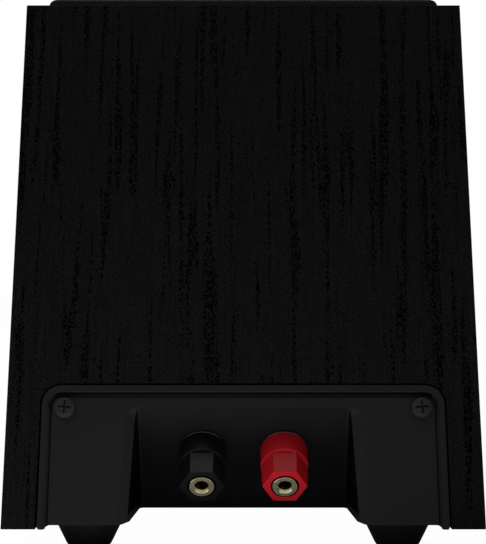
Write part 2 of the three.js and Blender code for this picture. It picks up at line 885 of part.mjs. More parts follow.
function wooferFrame() {
  const low = basketWall - basketDepth;
  const shell = turned([
    [flangeRadius, -flushDrop],
    [flangeRadius, frameFloor],
    [ledgeInner + basketWall, frameFloor],
    [basketFoot, -basketDepth],
    [basketBore, -basketDepth],
    [basketBore, low],
    [basketFoot - basketWall, low],
    [ledgeInner, frameFloor],
    [ledgeInner, -flushDrop - ledgeDepth],
    [ledgeOuter, -flushDrop - ledgeDepth],
    [ledgeOuter, -flushDrop],
  ], large);
  const window = new THREE.BoxGeometry(windowWidth, windowHeight, flangeRadius - basketBore)
    .translate(0, -windowTop - windowHeight / 2, (flangeRadius + basketBore) / 2);
  const windows = [];
  for (let k = 0; k < windowCount; k += 1) {
    windows.push(window.clone().rotateY((2 * Math.PI * k) / windowCount));
  }
  const holes = wooferScrewPlaces().map(([x, z]) => (
    drill(driverScrewRadius + seatGap, -overrun - flangeThickness, overrun, tiny).translate(x, 0, z)
  ));
  return cut(shell, ...windows, ...holes);
}

function coneAt(radius) {
  const share = (radius - coneNeck) / (coneOuter - coneRimWidth - coneNeck);
  return coneRim - coneDepth * (1 - share);
}

function wooferCone() {
  return turned([
    [coneNeck, coneAt(coneNeck)],
    [coneOuter - coneRimWidth, coneRim],
    [coneOuter, coneRim],
    [coneOuter, coneRim - coneThickness],
    [coneOuter - coneRimWidth, coneRim - coneThickness],
    [coneNeck, coneAt(coneNeck) - coneThickness],
  ], large);
}

// Half-round roll between a lip on the cone's rim and a lip on the frame's ledge.
function wooferSurround() {
  const middle = coneOuter + rollRadius;
  const arc = (radius) => {
    const points = [];
    for (let k = 0; k <= rollSteps; k += 1) {
      const angle = Math.PI * (1 - k / rollSteps);
      points.push([middle + radius * Math.cos(angle), lipFloor + radius * Math.sin(angle)]);
    }
    return points;
  };
  const lipTop = lipFloor + rollSheet;
  const outer = arc(rollRadius + rollSheet).filter(([, height]) => height > lipTop);
  const under = [
    [coneOuter - coneRimWidth, lipFloor],
    ...arc(rollRadius),
    [ledgeOuter - lipClearance, lipFloor],
  ];
  const over = [
    [coneOuter - coneRimWidth, lipTop],
    [coneOuter - rollSheet, lipTop],
    ...outer,
    [middle + rollRadius + rollSheet, lipTop],
    [ledgeOuter - lipClearance, lipTop],
  ];
  return turned([...under, ...over.reverse()], large);
}

function domeShell(radius, rise, sheet, floor, edge) {
  const steps = domeSteps;
  const shell = (grow) => {
    const points = [];
    for (let k = 0; k <= steps; k += 1) {
      const angle = (Math.PI * k) / (2 * steps);
      points.push([(radius + grow) * Math.cos(angle), floor + (rise + grow) * Math.sin(angle)]);
    }
    return points;
  };
  const outer = shell(0).slice(1);
  const inner = shell(-sheet).reverse();
  inner[0][0] = 0;
  outer[outer.length - 1][0] = 0;
  return turnedSolid([...inner, ...edge, ...outer], medium);
}

function wooferSpider() {
  const inner = formerRadius + formerWall + seatGap;
  const outer = basketAt(-spiderDepth) - seatGap;
  const path = (lift) => {
    const points = [];
    for (let k = 0; k <= spiderSteps; k += 1) {
      const wave = spiderWave * Math.sin((k * Math.PI) / 2);
      points.push([inner + ((outer - inner) * k) / spiderSteps, lift - spiderDepth + wave]);
    }
    return points;
  };
  return turned([...path(0), ...path(spiderSheet).reverse()], hidden);
}

function wooferCoil() {
  const wound = formerRadius + formerWall;
  const windingTop = topPlateFace + windingOverhang;
  const windingFoot = topPlateFace - topPlateThickness - windingOverhang;
  return turned([
    [formerRadius, windingFoot],
    [wound + windingWall, windingFoot],
    [wound + windingWall, windingTop],
    [wound, windingTop],
    [wound, coneAt(coneNeck)],
    [formerRadius, coneAt(coneNeck)],
  ], hidden);
}

function yoke(plateRadius, face, thickness, pole, poleTop, facets) {
  return turnedSolid([
    [0, face - thickness],
    [plateRadius, face - thickness],
    [plateRadius, face],
    [pole, face],
    [pole, poleTop],
    [0, poleTop],
  ], facets);
}

function driverScrews(prefix, places, middle) {
  return places.map(([x, z], k) => {
    const body = panScrew(
      driverScrewHead,
      driverScrewHeadHeight,
      driverScrewRadius,
      driverScrewLength,
      tiny,
    );
    const screw = piece(`${prefix}_screw_${k + 1}`, body, finishes.steelBlack);
    screw.position.set(x, seatGap - flushDrop, z + middle);
    return screw;
  });
}

function woofer() {
  const voiceOuter = formerRadius + formerWall + windingWall + voiceGap;
  const voiceInner = formerRadius - voiceGap;
  const capFloor = coneAt(dustCapRadius) + seatGap;
  const rim = [[dustCapRadius, capFloor]];
  const pieces = [
    piece('woofer_frame', wooferFrame(), finishes.steelBlack),
    piece('woofer_cone', wooferCone(), finishes.cone),
    piece('woofer_surround', wooferSurround(), finishes.rubber),
    piece(
      'woofer_dust_cap',
      domeShell(dustCapRadius, dustCapHeight, coneThickness, capFloor, rim),
      finishes.cone,
    ),
    piece('woofer_coil', wooferCoil(), finishes.copper),
    piece('woofer_spider', wooferSpider(), finishes.spider),
    piece(
      'woofer_top_plate',
      turned(
        tubeOutline(voiceOuter, topPlateRadius, topPlateFace - topPlateThickness, topPlateFace),
        medium,
      ),
      finishes.zinc,
    ),
    piece(
      'woofer_magnet',
      turned(tubeOutline(magnetBore, magnetRadius, magnetFace - magnetThickness, magnetFace), medium),
      finishes.ferrite,
    ),
    piece(
      'woofer_yoke',
      yoke(yokeRadius, yokeFace, yokeThickness, voiceInner, topPlateFace, medium),
      finishes.zinc,
    ),
  ];
  const place = fromBaffle(0, 0, wooferPlace);
  return [
    assembly(pieces, place, onBaffle.turn),
    assembly(driverScrews('woofer', wooferScrewPlaces(), wooferPlace), onBaffle.place, onBaffle.turn),
  ];
}

function tweeterFace() {
  const face = turned([
    [faceRadius, -flushDrop],
    [faceRadius, faceFloor],
    [throatRadius, faceFloor],
    [throatRadius, -flushDrop - mouthDepth],
    [mouthRadius, -flushDrop],
  ], large);
  const holes = tweeterScrewPlaces().map(([x, z]) => (
    drill(driverScrewRadius + seatGap, faceFloor - overrun, overrun, tiny).translate(x, 0, z)
  ));
  return cut(face, ...holes);
}

function tweeterDome() {
  const rollTop = domeFloor + domeRoll;
  const rollMiddle = (domeRadius + throatRadius) / 2;
  return domeShell(domeRadius, domeRise, domeSheet, domeFloor, [
    [domeRadius, domeFloor],
    [rollMiddle, rollTop - domeSheet],
    [throatRadius, domeFloor],
    [domeEdge, domeFloor],
    [domeEdge, domeFloor + domeSheet],
    [throatRadius - domeSheet, domeFloor + domeSheet],
    [rollMiddle, rollTop],
    [domeRadius + domeSheet / 2, domeFloor + domeSheet],
  ]);
}

function tweeter() {
  const coilOuterRadius = domeRadius - domeSheet - seatGap;
  const coilInnerRadius = coilOuterRadius - tweeterCoilWall;
  const topPlateOuter = tweeterMagnetRadius - tweeterPlateInset;
  const coilTop = domeFloor - seatGap;
  const plateFoot = tweeterPlateFace - tweeterPlateThickness;
  const magnetFoot = tweeterMagnetFace - tweeterMagnetThickness;
  const pieces = [
    piece('tweeter_face_plate', tweeterFace(), finishes.steelBlack),
    piece('tweeter_dome', tweeterDome(), finishes.dome),
    piece(
      'tweeter_coil',
      turned(
        tubeOutline(coilInnerRadius, coilOuterRadius, coilTop - tweeterCoilLength, coilTop),
        hidden,
      ),
      finishes.copper,
    ),
    piece(
      'tweeter_top_plate',
      turned(
        tubeOutline(coilOuterRadius + voiceGap, topPlateOuter, plateFoot, tweeterPlateFace),
        hidden,
      ),
      finishes.zinc,
    ),
    piece(
      'tweeter_magnet',
      turned(
        tubeOutline(tweeterMagnetBore, tweeterMagnetRadius, magnetFoot, tweeterMagnetFace),
        hidden,
      ),
      finishes.ferrite,
    ),
    piece(
      'tweeter_yoke',
      yoke(
        tweeterMagnetRadius - tweeterYokeInset,
        tweeterYokeFace,
        tweeterYokeThickness,
        coilInnerRadius - voiceGap,
        tweeterPlateFace,
        hidden,
      ),
      finishes.zinc,
    ),
  ];
  const screws = driverScrews('tweeter', tweeterScrewPlaces(), tweeterPlace);
  return [
    assembly(pieces, fromBaffle(0, 0, tweeterPlace), onBaffle.turn),
    assembly(screws, onBaffle.place, onBaffle.turn),
  ];
}

// Cloth drawn over the frame: a shallow tray with rounded edges, open towards the baffle.
function grilleClothBody() {
  const shape = roundedRectangle(grilleWidth, grilleLength, grilleCorner);
  const tray = new THREE.ExtrudeGeometry(shape, {
    depth: grilleHeight - grilleEdge,
    bevelThickness: grilleEdge,
    bevelSize: grilleEdge,
    bevelOffset: -grilleEdge,
    bevelSegments: filletFacets,
    curveSegments: cornerFacets,
  }).rotateX(-Math.PI / 2);
  const innerShape = roundedRectangle(
    grilleWidth - 2 * grilleCloth,
    grilleLength - 2 * grilleCloth,
    grilleCorner - grilleCloth,
  );
  const hollow = slab(innerShape, -overrun, grilleHeight - grilleCloth, cornerFacets);
  const below = new THREE.BoxGeometry(cabinetWidth, 2 * overrun, baffleLength);
  return cut(tray, hollow, below.translate(0, seatGap - overrun, 0)).translate(0, 0, grilleMiddle);
}

// Moulded ring with one bar between the drivers and a peg near each corner.
function grilleFrameBody() {
  const edge = grilleCloth + seatGap;
  const top = grilleHeight - edge;
  const outerShape = roundedRectangle(
    grilleWidth - 2 * edge,
    grilleLength - 2 * edge,
    grilleCorner - edge,
  );
  const inner = edge + grilleFrameWidth;
  const innerShape = roundedRectangle(
    grilleWidth - 2 * inner,
    grilleLength - 2 * inner,
    grilleFrameWidth / 2,
  );
  const ring = slab(outerShape, seatGap, top, cornerFacets);
  const opening = slab(innerShape, -overrun, top + overrun, filletFacets);
  const tweeterEdge = tweeterPlace + faceRadius;
  const wooferEdge = wooferPlace - flangeRadius;
  const barLength = grilleWidth - 2 * inner + grilleFrameWidth;
  const bar = new THREE.BoxGeometry(barLength, top - seatGap, grilleBarWidth)
    .translate(0, (top + seatGap) / 2, (tweeterEdge + wooferEdge) / 2);
  const pegs = pegPlaces().map(([x, z]) => (
    drill(pegRadius, -pegLength, (top + seatGap) / 2, small).translate(x, 0, z)
  ));
  const frame = cut(ring, opening).translate(0, 0, grilleMiddle);
  return joined(frame, bar, ...pegs);
}

function pegCup() {
  const bore = pegRadius + pegClearance;
  const floor = pegClearance - cupSocketDepth + pegClearance;
  return turnedSolid([
    [0, -cupSocketDepth],
    [cupRimRadius, -cupSocketDepth],
    [cupRimRadius, -flushDrop],
    [bore, -flushDrop],
    [bore, floor],
    [0, floor],
  ], small);
}

function grille() {
  const names = ['rear_left', 'rear_right', 'front_left', 'front_right'];
  const cups = pegPlaces().map(([x, z], k) => {
    const cup = piece(`grille_cup_${names[k]}`, pegCup(), finishes.rubber);
    cup.position.set(x, 0, z);
    return cup;
  });
  return assembly([
    piece('grille_cloth', grilleClothBody(), finishes.cloth),
    piece('grille_frame', grilleFrameBody(), finishes.grilleFrame),
    ...cups,
  ], onBaffle.place, onBaffle.turn);
}

function crossoverBoard() {
  const board = new THREE.BoxGeometry(boardWidth, boardLength, boardThickness)
    .translate(0, 0, boardThickness / 2);
  const x = boardWidth / 2 - spacerInset;
  const y = boardLength / 2 - spacerInset;
  const spacers = [[-x, -y], [x, -y], [-x, y], [x, y]].map(([px, py]) => (
    drill(spacerRadius, -spacerHeight, boardThickness / 2, tiny)
      .rotateX(Math.PI / 2)
      .translate(px, py, 0)
  ));
  return joined(board, ...spacers);
}

function crossover() {
  const coil = turned([
    [coilBore, 0],
    [coilOuter, 0],
    [coilOuter, coilFlange],
    [coilOuter - coilFlangeRim, coilFlange],
    [coilOuter - coilFlangeRim, coilHeight - coilFlange],
    [coilOuter, coilHeight - coilFlange],
    [coilOuter, coilHeight],
    [coilBore, coilHeight],
  ], hidden).rotateX(Math.PI / 2);
  const capacitor = drill(capacitorRadius, -capacitorLength / 2, capacitorLength / 2)
    .rotateZ(Math.PI / 2);
  const resistor = new THREE.BoxGeometry(resistorLength, resistorWidth, resistorWidth);
  const top = boardThickness + seatGap;
  const coilY = boardLength / 2 - spacerInset - coilOuter;
  const capacitorY = coilY - coilOuter - 2 * seatGap - capacitorRadius;
  const resistorY = capacitorY - capacitorRadius - 2 * seatGap - resistorWidth / 2;
  const parts = {
    crossover_inductor: [coil, finishes.copper, [0, coilY, top]],
    crossover_capacitor: [capacitor, finishes.film, [0, capacitorY, top + capacitorRadius]],
    crossover_resistor: [resistor, finishes.ceramic, [0, resistorY, top + resistorWidth / 2]],
  };
  const pieces = Object.entries(parts).map(([name, [body, material, place]]) => {
    const part = piece(name, body, material);
    part.position.set(...place);
    return part;
  });
  return assembly(
    [piece('crossover_board', crossoverBoard(), finishes.board), ...pieces],
    [0, boardMiddle, boardFloor],
  );
}

// A world place from one in the baffle's frame: across, out of the baffle, down to the front.
function fromBaffle(x, out, down) {
  return [
    x,
    ridge.y - out * Math.sin(lean) - down * Math.cos(lean),
    ridge.z + out * Math.cos(lean) - down * Math.sin(lean),
  ];
}

// A lead that leaves its start one way and comes to its end from another.
function lead(from, fromWay, to, toWay) {
  const start = new THREE.Vector3(...from);
  const end = new THREE.Vector3(...to);
  const reach = start.distanceTo(end) * leadReachShare;
  const path = new THREE.CubicBezierCurve3(
    start,
    start.clone().addScaledVector(new THREE.Vector3(...fromWay), reach),
    end.clone().addScaledVector(new THREE.Vector3(...toWay), reach),
    end,
  );
  const section = new THREE.Shape().absarc(0, 0, leadRadius, 0, 2 * Math.PI, false);
  return new THREE.ExtrudeGeometry(section, {
    steps: leadSteps,
    curveSegments: cornerFacets,
    bevelEnabled: false,
    extrudePath: path,
  });
}

function leads() {
  const boardTop = boardFloor + boardThickness + seatGap;
  const edge = boardWidth / 2 - spacerInset;
  const rearEdge = boardMiddle + boardLength / 2 - 3 * leadRadius;
  const upwards = [0, 0, 1];
  const inwards = [0, -Math.cos(wallTilt), Math.sin(wallTilt)];
  const inner = studInside + seatGap;
  const postEnd = (side) => [
    (side * postSpacing) / 2,
    rearFoot.y - postSeat.inset + inner * inwards[1],
    rearFoot.z + postSeat.height + inner * inwards[2],
  ];
  const padX = 2 * spacerInset;
  const { leadRed, leadBlack } = finishes;
  const basketSide = wooferPlace - basketOuterAt(leadRadius - spiderDepth) - seatGap;
  const wooferEnd = fromBaffle(0, -spiderDepth, basketSide);
  const alongBaffle = [0, Math.cos(lean), Math.sin(lean)];
  const tweeterBack = tweeterYokeFace - tweeterYokeThickness - seatGap;
  const tweeterEnd = fromBaffle(0, tweeterBack, tweeterPlace);
  const behindBaffle = [0, Math.sin(lean), -Math.cos(lean)];
  return [
    piece('lead_red', lead(postEnd(-1), inwards, [-padX, rearEdge, boardTop], upwards), leadRed),
    piece('lead_black', lead(postEnd(1), inwards, [padX, rearEdge, boardTop], upwards), leadBlack),
    piece('lead_woofer', lead([edge, boardMiddle, boardTop], upwards, wooferEnd, alongBaffle), leadRed),
    piece(
      'lead_tweeter',
      lead([-edge, boardMiddle, boardTop], upwards, tweeterEnd, behindBaffle),
      leadBlack,
    ),
  ];
}

function wadding() {
  const width = 2 * (halfInside - waddingSideInset);
  const pad = new THREE.BoxGeometry(width, waddingDepth, waddingHeight);
  const back = -panelThickness - 2 * seatGap - waddingDepth / 2;
  const mesh = piece('damping_pad', pad, finishes.wadding);
  mesh.position.set(0, back, waddingRise + waddingHeight / 2);
  return assembly([mesh], onRear.place, onRear.turn);
}

function speaker() {
  const whole = new THREE.Group();
  whole.name = 'wedge_speaker';
  whole.add(
    cabinet(),
    ...feet(),
    terminalPlateAssembly(),
    post('red', -1, finishes.capRed),
    post('black', 1, finishes.capBlack),
    ...woofer(),
    ...tweeter(),
    grille(),
    crossover(),
    ...leads(),
    wadding(),
  );
  return whole;
}

export default speaker();
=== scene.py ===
# %% [markdown]
# # A wedge-shaped shelf speaker, seen from behind
# This lesson dresses a packed speaker model in Blender. The frame holds every solid at its real
# place and size, so the work here is in surfaces: rounded edges, moulded plastic, wood-grain
# vinyl, brass, rubber and cloth. The script loads the frame first.

# %% Load the fixed frame
from math import atan2, cos, degrees, pi, radians, sin, tan

import bmesh
import bpy
from mathutils import Matrix, Vector


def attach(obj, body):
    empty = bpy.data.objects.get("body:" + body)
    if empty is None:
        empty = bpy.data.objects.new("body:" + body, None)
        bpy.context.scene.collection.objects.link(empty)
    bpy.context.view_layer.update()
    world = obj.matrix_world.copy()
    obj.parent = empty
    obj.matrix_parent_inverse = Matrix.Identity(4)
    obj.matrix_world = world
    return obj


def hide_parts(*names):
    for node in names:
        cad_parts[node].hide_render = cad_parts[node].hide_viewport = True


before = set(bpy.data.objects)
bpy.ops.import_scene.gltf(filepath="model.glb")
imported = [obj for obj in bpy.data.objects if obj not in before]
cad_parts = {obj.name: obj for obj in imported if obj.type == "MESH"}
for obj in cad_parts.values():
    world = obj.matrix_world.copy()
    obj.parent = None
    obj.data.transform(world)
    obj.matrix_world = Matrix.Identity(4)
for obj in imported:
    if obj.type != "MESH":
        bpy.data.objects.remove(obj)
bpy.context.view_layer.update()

# %% [markdown]
# ## The camera
# The picture was taken level and from straight behind, from about half a metre. The rear panel
# leans away from the lens, so its sides draw together towards the top. The lens length and the
# distance come from that narrowing and from the speaker's width of 156 mm.

# %% Camera straight behind the rear panel
camera_data = bpy.data.cameras.new("camera")
camera_data.lens = 109.42
camera_data.sensor_width = 36
camera_data.shift_x = -0.00053
camera_data.clip_start = 0.01
camera = bpy.data.objects.new("camera", camera_data)
camera.location = (0, 0.6736, 0.09166)
camera.rotation_euler = (pi / 2, 0, pi)
bpy.context.scene.collection.objects.link(camera)
bpy.context.scene.camera = camera
bpy.context.scene.view_settings.view_transform = "Standard"

# %% [markdown]
# ## A pale room
# The background is plain white. Camera, glossy and transmission rays see the world as white, and
# the softer light that falls on the speaker has its own, lower level. The main lamp stands high
# beside the camera, on the left of the picture. A second lamp hangs above the speaker, and a
# third stands before its front. The ends of the terminals face downwards and are still bright in
# the picture, so the table behind the speaker must shine: a fourth lamp lies on it and faces up.

# %% World: white to look at, softer as light
fill_level = 0.2
world = bpy.data.worlds.new("pale_room")
world.use_nodes = True
bpy.context.scene.world = world
room = world.node_tree
room.nodes.clear()


def arithmetic(tree, operation, first, second):
    """A Math node on two values, each a number or another node's output."""
    node = tree.nodes.new("ShaderNodeMath")
    node.operation = operation
    for socket, value in zip(node.inputs, (first, second)):
        if isinstance(value, (int, float)):
            socket.default_value = value
        else:
            tree.links.new(value, socket)
    return node.outputs[0]


def seen_directly(tree, straight=1.0, mirrored=1.0):
    """The share of plain white for rays that look straight, by a mirror or through glass."""
    path = tree.nodes.new("ShaderNodeLightPath")
    eye, mirror, glass = (
        arithmetic(tree, "MULTIPLY", path.outputs[ray], share)
        for ray, share in (("Is Camera Ray", straight), ("Is Glossy Ray", mirrored),
                           ("Is Transmission Ray", mirrored))
    )
    return arithmetic(tree, "MAXIMUM", arithmetic(tree, "MAXIMUM", eye, mirror), glass)


room_mix = room.nodes.new("ShaderNodeMixShader")
room.links.new(seen_directly(room), room_mix.inputs["Fac"])
for socket, strength in ((1, fill_level), (2, 1.0)):
    light = room.nodes.new("ShaderNodeBackground")
    light.inputs["Color"].default_value = (1, 1, 1, 1)
    light.inputs["Strength"].default_value = strength
    room.links.new(light.outputs[0], room_mix.inputs[socket])
room_out = room.nodes.new("ShaderNodeOutputWorld")
room.links.new(room_mix.outputs[0], room_out.inputs["Surface"])
print("the room lights the speaker at", fill_level, "of white")


# %% Four soft lamps
def soft_lamp(name, place, target, size, power):
    lamp = bpy.data.lights.new(name, "AREA")
    lamp.shape = "DISK"
    lamp.size = size
    lamp.energy = power
    stand = bpy.data.objects.new(name, lamp)
    stand.location = place
    aim = Vector(target) - Vector(place)
    stand.rotation_euler = aim.to_track_quat("-Z", "Y").to_euler()
    bpy.context.scene.collection.objects.link(stand)


soft_lamp("lamp_main", (0.62, 0.5, 0.8), (0, 0.08, 0.14), 0.5, 1.15)
soft_lamp("lamp_top", (0.1, 0.15, 1.2), (0.02, 0.12, 0), 0.8, 3.2)
soft_lamp("lamp_table", (0.04, 0.37, 0.002), (0.04, 0.37, 1), 0.45, 1.25)
soft_lamp("lamp_front", (0.6, -1.5, 0.9), (0, 0, 0.1), 0.8, 26)

# %% [markdown]
# ## The floor
# A broad pale sheet carries the speaker. Looked at directly it is almost white, and a share of
# its own shading is kept, so that the soft shadow under the speaker stays. Mirrored in metal it
# shows much more of its shading, because the brass terminals look down into that shadow.


# %% Making an object and a finish
def new_object(bm, name):
    """Turn a bmesh into an object of the scene, with its faces pointing outwards."""
    bmesh.ops.recalc_face_normals(bm, faces=bm.faces)
    mesh = bpy.data.meshes.new(name)
    bm.to_mesh(mesh)
    bm.free()
    thing = bpy.data.objects.new(name, mesh)
    bpy.context.scene.collection.objects.link(thing)
    return thing


def new_finish(name, roughness, specular=0.5, metallic=0.0):
    material = bpy.data.materials.new(name)
    material.use_nodes = True
    shader = material.node_tree.nodes["Principled BSDF"]
    shader.inputs["Roughness"].default_value = roughness
    shader.inputs["Specular IOR Level"].default_value = specular
    shader.inputs["Metallic"].default_value = metallic
    return material, material.node_tree, shader


# %% Floor
shadow_share, mirrored_white = 0.016, 0.05
sheet = bmesh.new()
bmesh.ops.create_grid(sheet, x_segments=1, y_segments=1, size=6)
floor = new_object(sheet, "floor")
floor_paint, tree, floor_shader = new_finish("pale_floor", 0.9, 0.1)
floor_shader.inputs["Base Color"].default_value = (0.8, 0.8, 0.8, 1)
glow = tree.nodes.new("ShaderNodeEmission")
glow.inputs["Strength"].default_value = 1.0
blend = tree.nodes.new("ShaderNodeMixShader")
tree.links.new(seen_directly(tree, 1 - shadow_share, mirrored_white), blend.inputs["Fac"])
tree.links.new(floor_shader.outputs[0], blend.inputs[1])
tree.links.new(glow.outputs[0], blend.inputs[2])
tree.links.new(blend.outputs[0], tree.nodes["Material Output"].inputs["Surface"])
floor.data.materials.append(floor_paint)
print("looked at directly, the floor keeps", shadow_share, "of its shading")

# %% [markdown]
# ## Sizes and frames
# All new pieces are drawn in millimetres in the frame of what carries them: the leaning rear
# panel, the sloping baffle, or the tilted wall that holds a terminal. A frame here is a matrix
# that turns the drawing and carries it to its place. A last matrix turns millimetres to metres.

# %% Main sizes in millimetres, and the wedge from its side
width, rear_slant, baffle_length = 156.0, 190.3, 235.0
lean = radians(20)
panel = 12.0
foot_height = 9.0
rear_y = (rear_slant * sin(lean) + baffle_length * cos(lean)) / 2
ridge = (rear_y - rear_slant * sin(lean), foot_height + rear_slant * cos(lean))
front_top = (ridge[0] - baffle_length * cos(lean), ridge[1] - baffle_length * sin(lean))
front_foot = (front_top[0] + (front_top[1] - foot_height) * tan(lean), foot_height)
side_view = [(rear_y, foot_height), ridge, front_top, front_foot]
print("ridge at", [round(v, 2) for v in ridge], "front top at", [round(v, 2) for v in front_top])

# %% The drawing frames
to_metres = Matrix.Scale(0.001, 4)


def turned_frame(y, z, turn, x=0.0):
    """A frame in millimetres at a point of the speaker, turned about the X axis."""
    return Matrix.Translation((x, y, z)) @ Matrix.Rotation(turn, 4, "X")


rear_mm = turned_frame(rear_y, foot_height, lean)
baffle_mm = turned_frame(*ridge, pi / 2 + lean)
on_rear, on_baffle = to_metres @ rear_mm, to_metres @ baffle_mm
print("the rear panel leans, and the baffle slopes, by", round(degrees(lean)), "degrees")

# %% [markdown]
# ## A few shop tools
# Each piece starts as a `bmesh`, is shaped by operators, and then becomes an object with its
# place in its mesh. Edges are rounded with the bevel operator, because real edges catch a thin
# line of light. Faces are shaded smooth with sharp edges only past a set angle, and the Weighted
# Normal modifier keeps the shading of large flat faces even right up to their rounded edges.


# %% Finishing a piece, and handing it to the frame
def finish_piece(name, bm, place, finishes, sharp=30):
    """Carry a drawing to its place and make it a smooth-shaded object."""
    bmesh.ops.remove_doubles(bm, verts=bm.verts, dist=0.0004)
    bmesh.ops.transform(bm, matrix=place, verts=bm.verts)
    piece = new_object(bm, name)
    mesh = piece.data
    mesh.polygons.foreach_set("use_smooth", [True] * len(mesh.polygons))
    mesh.set_sharp_from_angle(angle=radians(sharp))
    for material in finishes:
        mesh.materials.append(material)
    even = piece.modifiers.new("even_shading", "WEIGHTED_NORMAL")
    even.keep_sharp = True
    print(f"{name}: {len(mesh.polygons)} faces")
    return piece


def hand_over(piece, body, slot, *nodes):
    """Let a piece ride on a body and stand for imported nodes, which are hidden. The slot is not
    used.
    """
    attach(piece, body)
    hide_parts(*nodes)


# %% Rounding chosen edges
def round_edges(bm, chosen, radius, segments=3):
    """Bevel the edges that the test chooses; the test gets an edge's middle and direction."""
    edges = []
    for edge in bm.edges:
        a, b = edge.verts[0].co, edge.verts[1].co
        if (b - a).length > 1e-6 and chosen((a + b) / 2, (b - a).normalized()):
            edges.append(edge)
    bmesh.ops.bevel(
        bm, geom=edges, offset=radius, offset_type="OFFSET", affect="EDGES",
        segments=segments, profile=0.5, material=-1, clamp_overlap=True,
    )
    return len(edges)


def every_edge(middle, way):
    return True


# %% A body from eight corners, and one turned on a lathe
def corner_body(corner_at):
    """A cube whose corners go where corner_at sends their signs."""
    bm = bmesh.new()
    bmesh.ops.create_cube(bm, size=2)
    for vert in bm.verts:
        vert.co = Vector(corner_at(*(1 if v > 0 else -1 for v in vert.co)))
    return bm


def block(low, high):
    """An upright block between two corners."""
    return corner_body(lambda sx, sy, sz: [
        high[k] if s > 0 else low[k] for k, s in enumerate((sx, sy, sz))
    ])


def lathe(outline, steps=96, closed=True):
    """Spin an outline of (radius, height) points about the drawing's Y axis."""
    bm = bmesh.new()
    verts = [bm.verts.new((radius, height, 0)) for radius, height in outline]
    pairs = list(zip(verts, verts[1:])) + ([(verts[-1], verts[0])] if closed else [])
    edges = [bm.edges.new(pair) for pair in pairs]
    bmesh.ops.spin(
        bm, geom=verts + edges, cent=(0, 0, 0), axis=(0, 1, 0), angle=2 * pi,
        steps=steps, use_merge=True,
    )
    bmesh.ops.remove_doubles(bm, verts=bm.verts, dist=0.0005)
    bmesh.ops.recalc_face_normals(bm, faces=bm.faces)
    return bm


def bore(radius, low, high, steps=64):
    """A round cutter along the drawing's Y axis."""
    return lathe([(0, low), (radius, low), (radius, high), (0, high)], steps, closed=False)


# Nine angles of a quarter turn, for outlines with a round corner.
quarter = [k * pi / 16 for k in range(9)]


# %% Moving a drawing
def moved(bm, place):
    bmesh.ops.transform(bm, matrix=place, verts=bm.verts)
    return bm


def at(bm, x, up):
    return moved(bm, Matrix.Translation((x, 0, up)))


# %% Cutting and joining with the Boolean modifier
def carve(body, tools, operation="DIFFERENCE"):
    """Cut bodies away from one, or join them to it, and return the result as a bmesh."""
    work = new_object(body, "work")
    knives = [new_object(tool, "knife") for tool in tools]
    for knife in knives:
        step = work.modifiers.new("cut", "BOOLEAN")
        step.operation = operation
        step.solver = "EXACT"
        step.object = knife
    bpy.context.view_layer.update()
    result = bmesh.new()
    evaluated = work.evaluated_get(bpy.context.evaluated_depsgraph_get())
    result.from_mesh(evaluated.to_mesh())
    evaluated.to_mesh_clear()
    for thing in [work, *knives]:
        mesh = thing.data
        bpy.data.objects.remove(thing)
        bpy.data.meshes.remove(mesh)
    return result


# %% Slicing a body, and tidying its flat areas after a cut
def sliced(bm, point, normal, **options):
    """Cut a body's faces along a plane, and give what lies on the plane."""
    cut = bmesh.ops.bisect_plane(bm, geom=bm.verts[:] + bm.edges[:] + bm.faces[:], dist=0.001,
                                 plane_co=point, plane_no=normal, **options)
    return cut["geom_cut"]


def dissolve_flat(bm, angle):
    """Merge faces that lie in one plane, so that a bevel meets only real edges."""
    bmesh.ops.remove_doubles(bm, verts=bm.verts, dist=0.0005)
    bmesh.ops.dissolve_limit(
        bm, angle_limit=radians(angle), verts=bm.verts, edges=bm.edges, delimit={"NORMAL"},
    )

# %% [markdown]
# ## Finishes
# Real finishes vary a little over their surface. Each one here mixes two near colours with fine
# noise, changes the roughness the same way and adds a small bump, all read from Object
# coordinates, so a pattern keeps its size in millimetres. The black finishes get a low specular
# level, because the room round the speaker is white and would otherwise grey them.


# %% The space of a pattern
def pattern_space(tree, per_metre, turn=(0, 0, 0)):
    """Object coordinates, turned, then stretched: a pattern repeats per_metre times a metre."""
    place = tree.nodes.new("ShaderNodeTexCoord")
    turned = tree.nodes.new("ShaderNodeMapping")
    turned.inputs["Rotation"].default_value = turn
    stretched = tree.nodes.new("ShaderNodeMapping")
    stretched.inputs["Scale"].default_value = per_metre
    tree.links.new(place.outputs["Object"], turned.inputs["Vector"])
    tree.links.new(turned.outputs["Vector"], stretched.inputs["Vector"])
    return stretched.outputs["Vector"]


# %% Noise, and ways to grade and mix values
def noise(tree, space, detail=2.0, distortion=0.0, fineness=0.5):
    node = tree.nodes.new("ShaderNodeTexNoise")
    node.inputs["Scale"].default_value = 1.0
    node.inputs["Detail"].default_value = detail
    node.inputs["Roughness"].default_value = fineness
    node.inputs["Distortion"].default_value = distortion
    tree.links.new(space, node.inputs["Vector"])
    return node.outputs["Fac"]


def graded(tree, value, low, high, to_low=0.0, to_high=1.0):
    """A value between low and high, carried smoothly to another range."""
    node = tree.nodes.new("ShaderNodeMapRange")
    node.interpolation_type = "SMOOTHSTEP"
    node.inputs["From Min"].default_value = low
    node.inputs["From Max"].default_value = high
    node.inputs["To Min"].default_value = to_low
    node.inputs["To Max"].default_value = to_high
    tree.links.new(value, node.inputs["Value"])
    return node.outputs["Result"]


def weighed(tree, first, second, share):
    """The mean of two values, with a share for the first."""
    return arithmetic(tree, "ADD", arithmetic(tree, "MULTIPLY", first, share),
                      arithmetic(tree, "MULTIPLY", second, 1 - share))


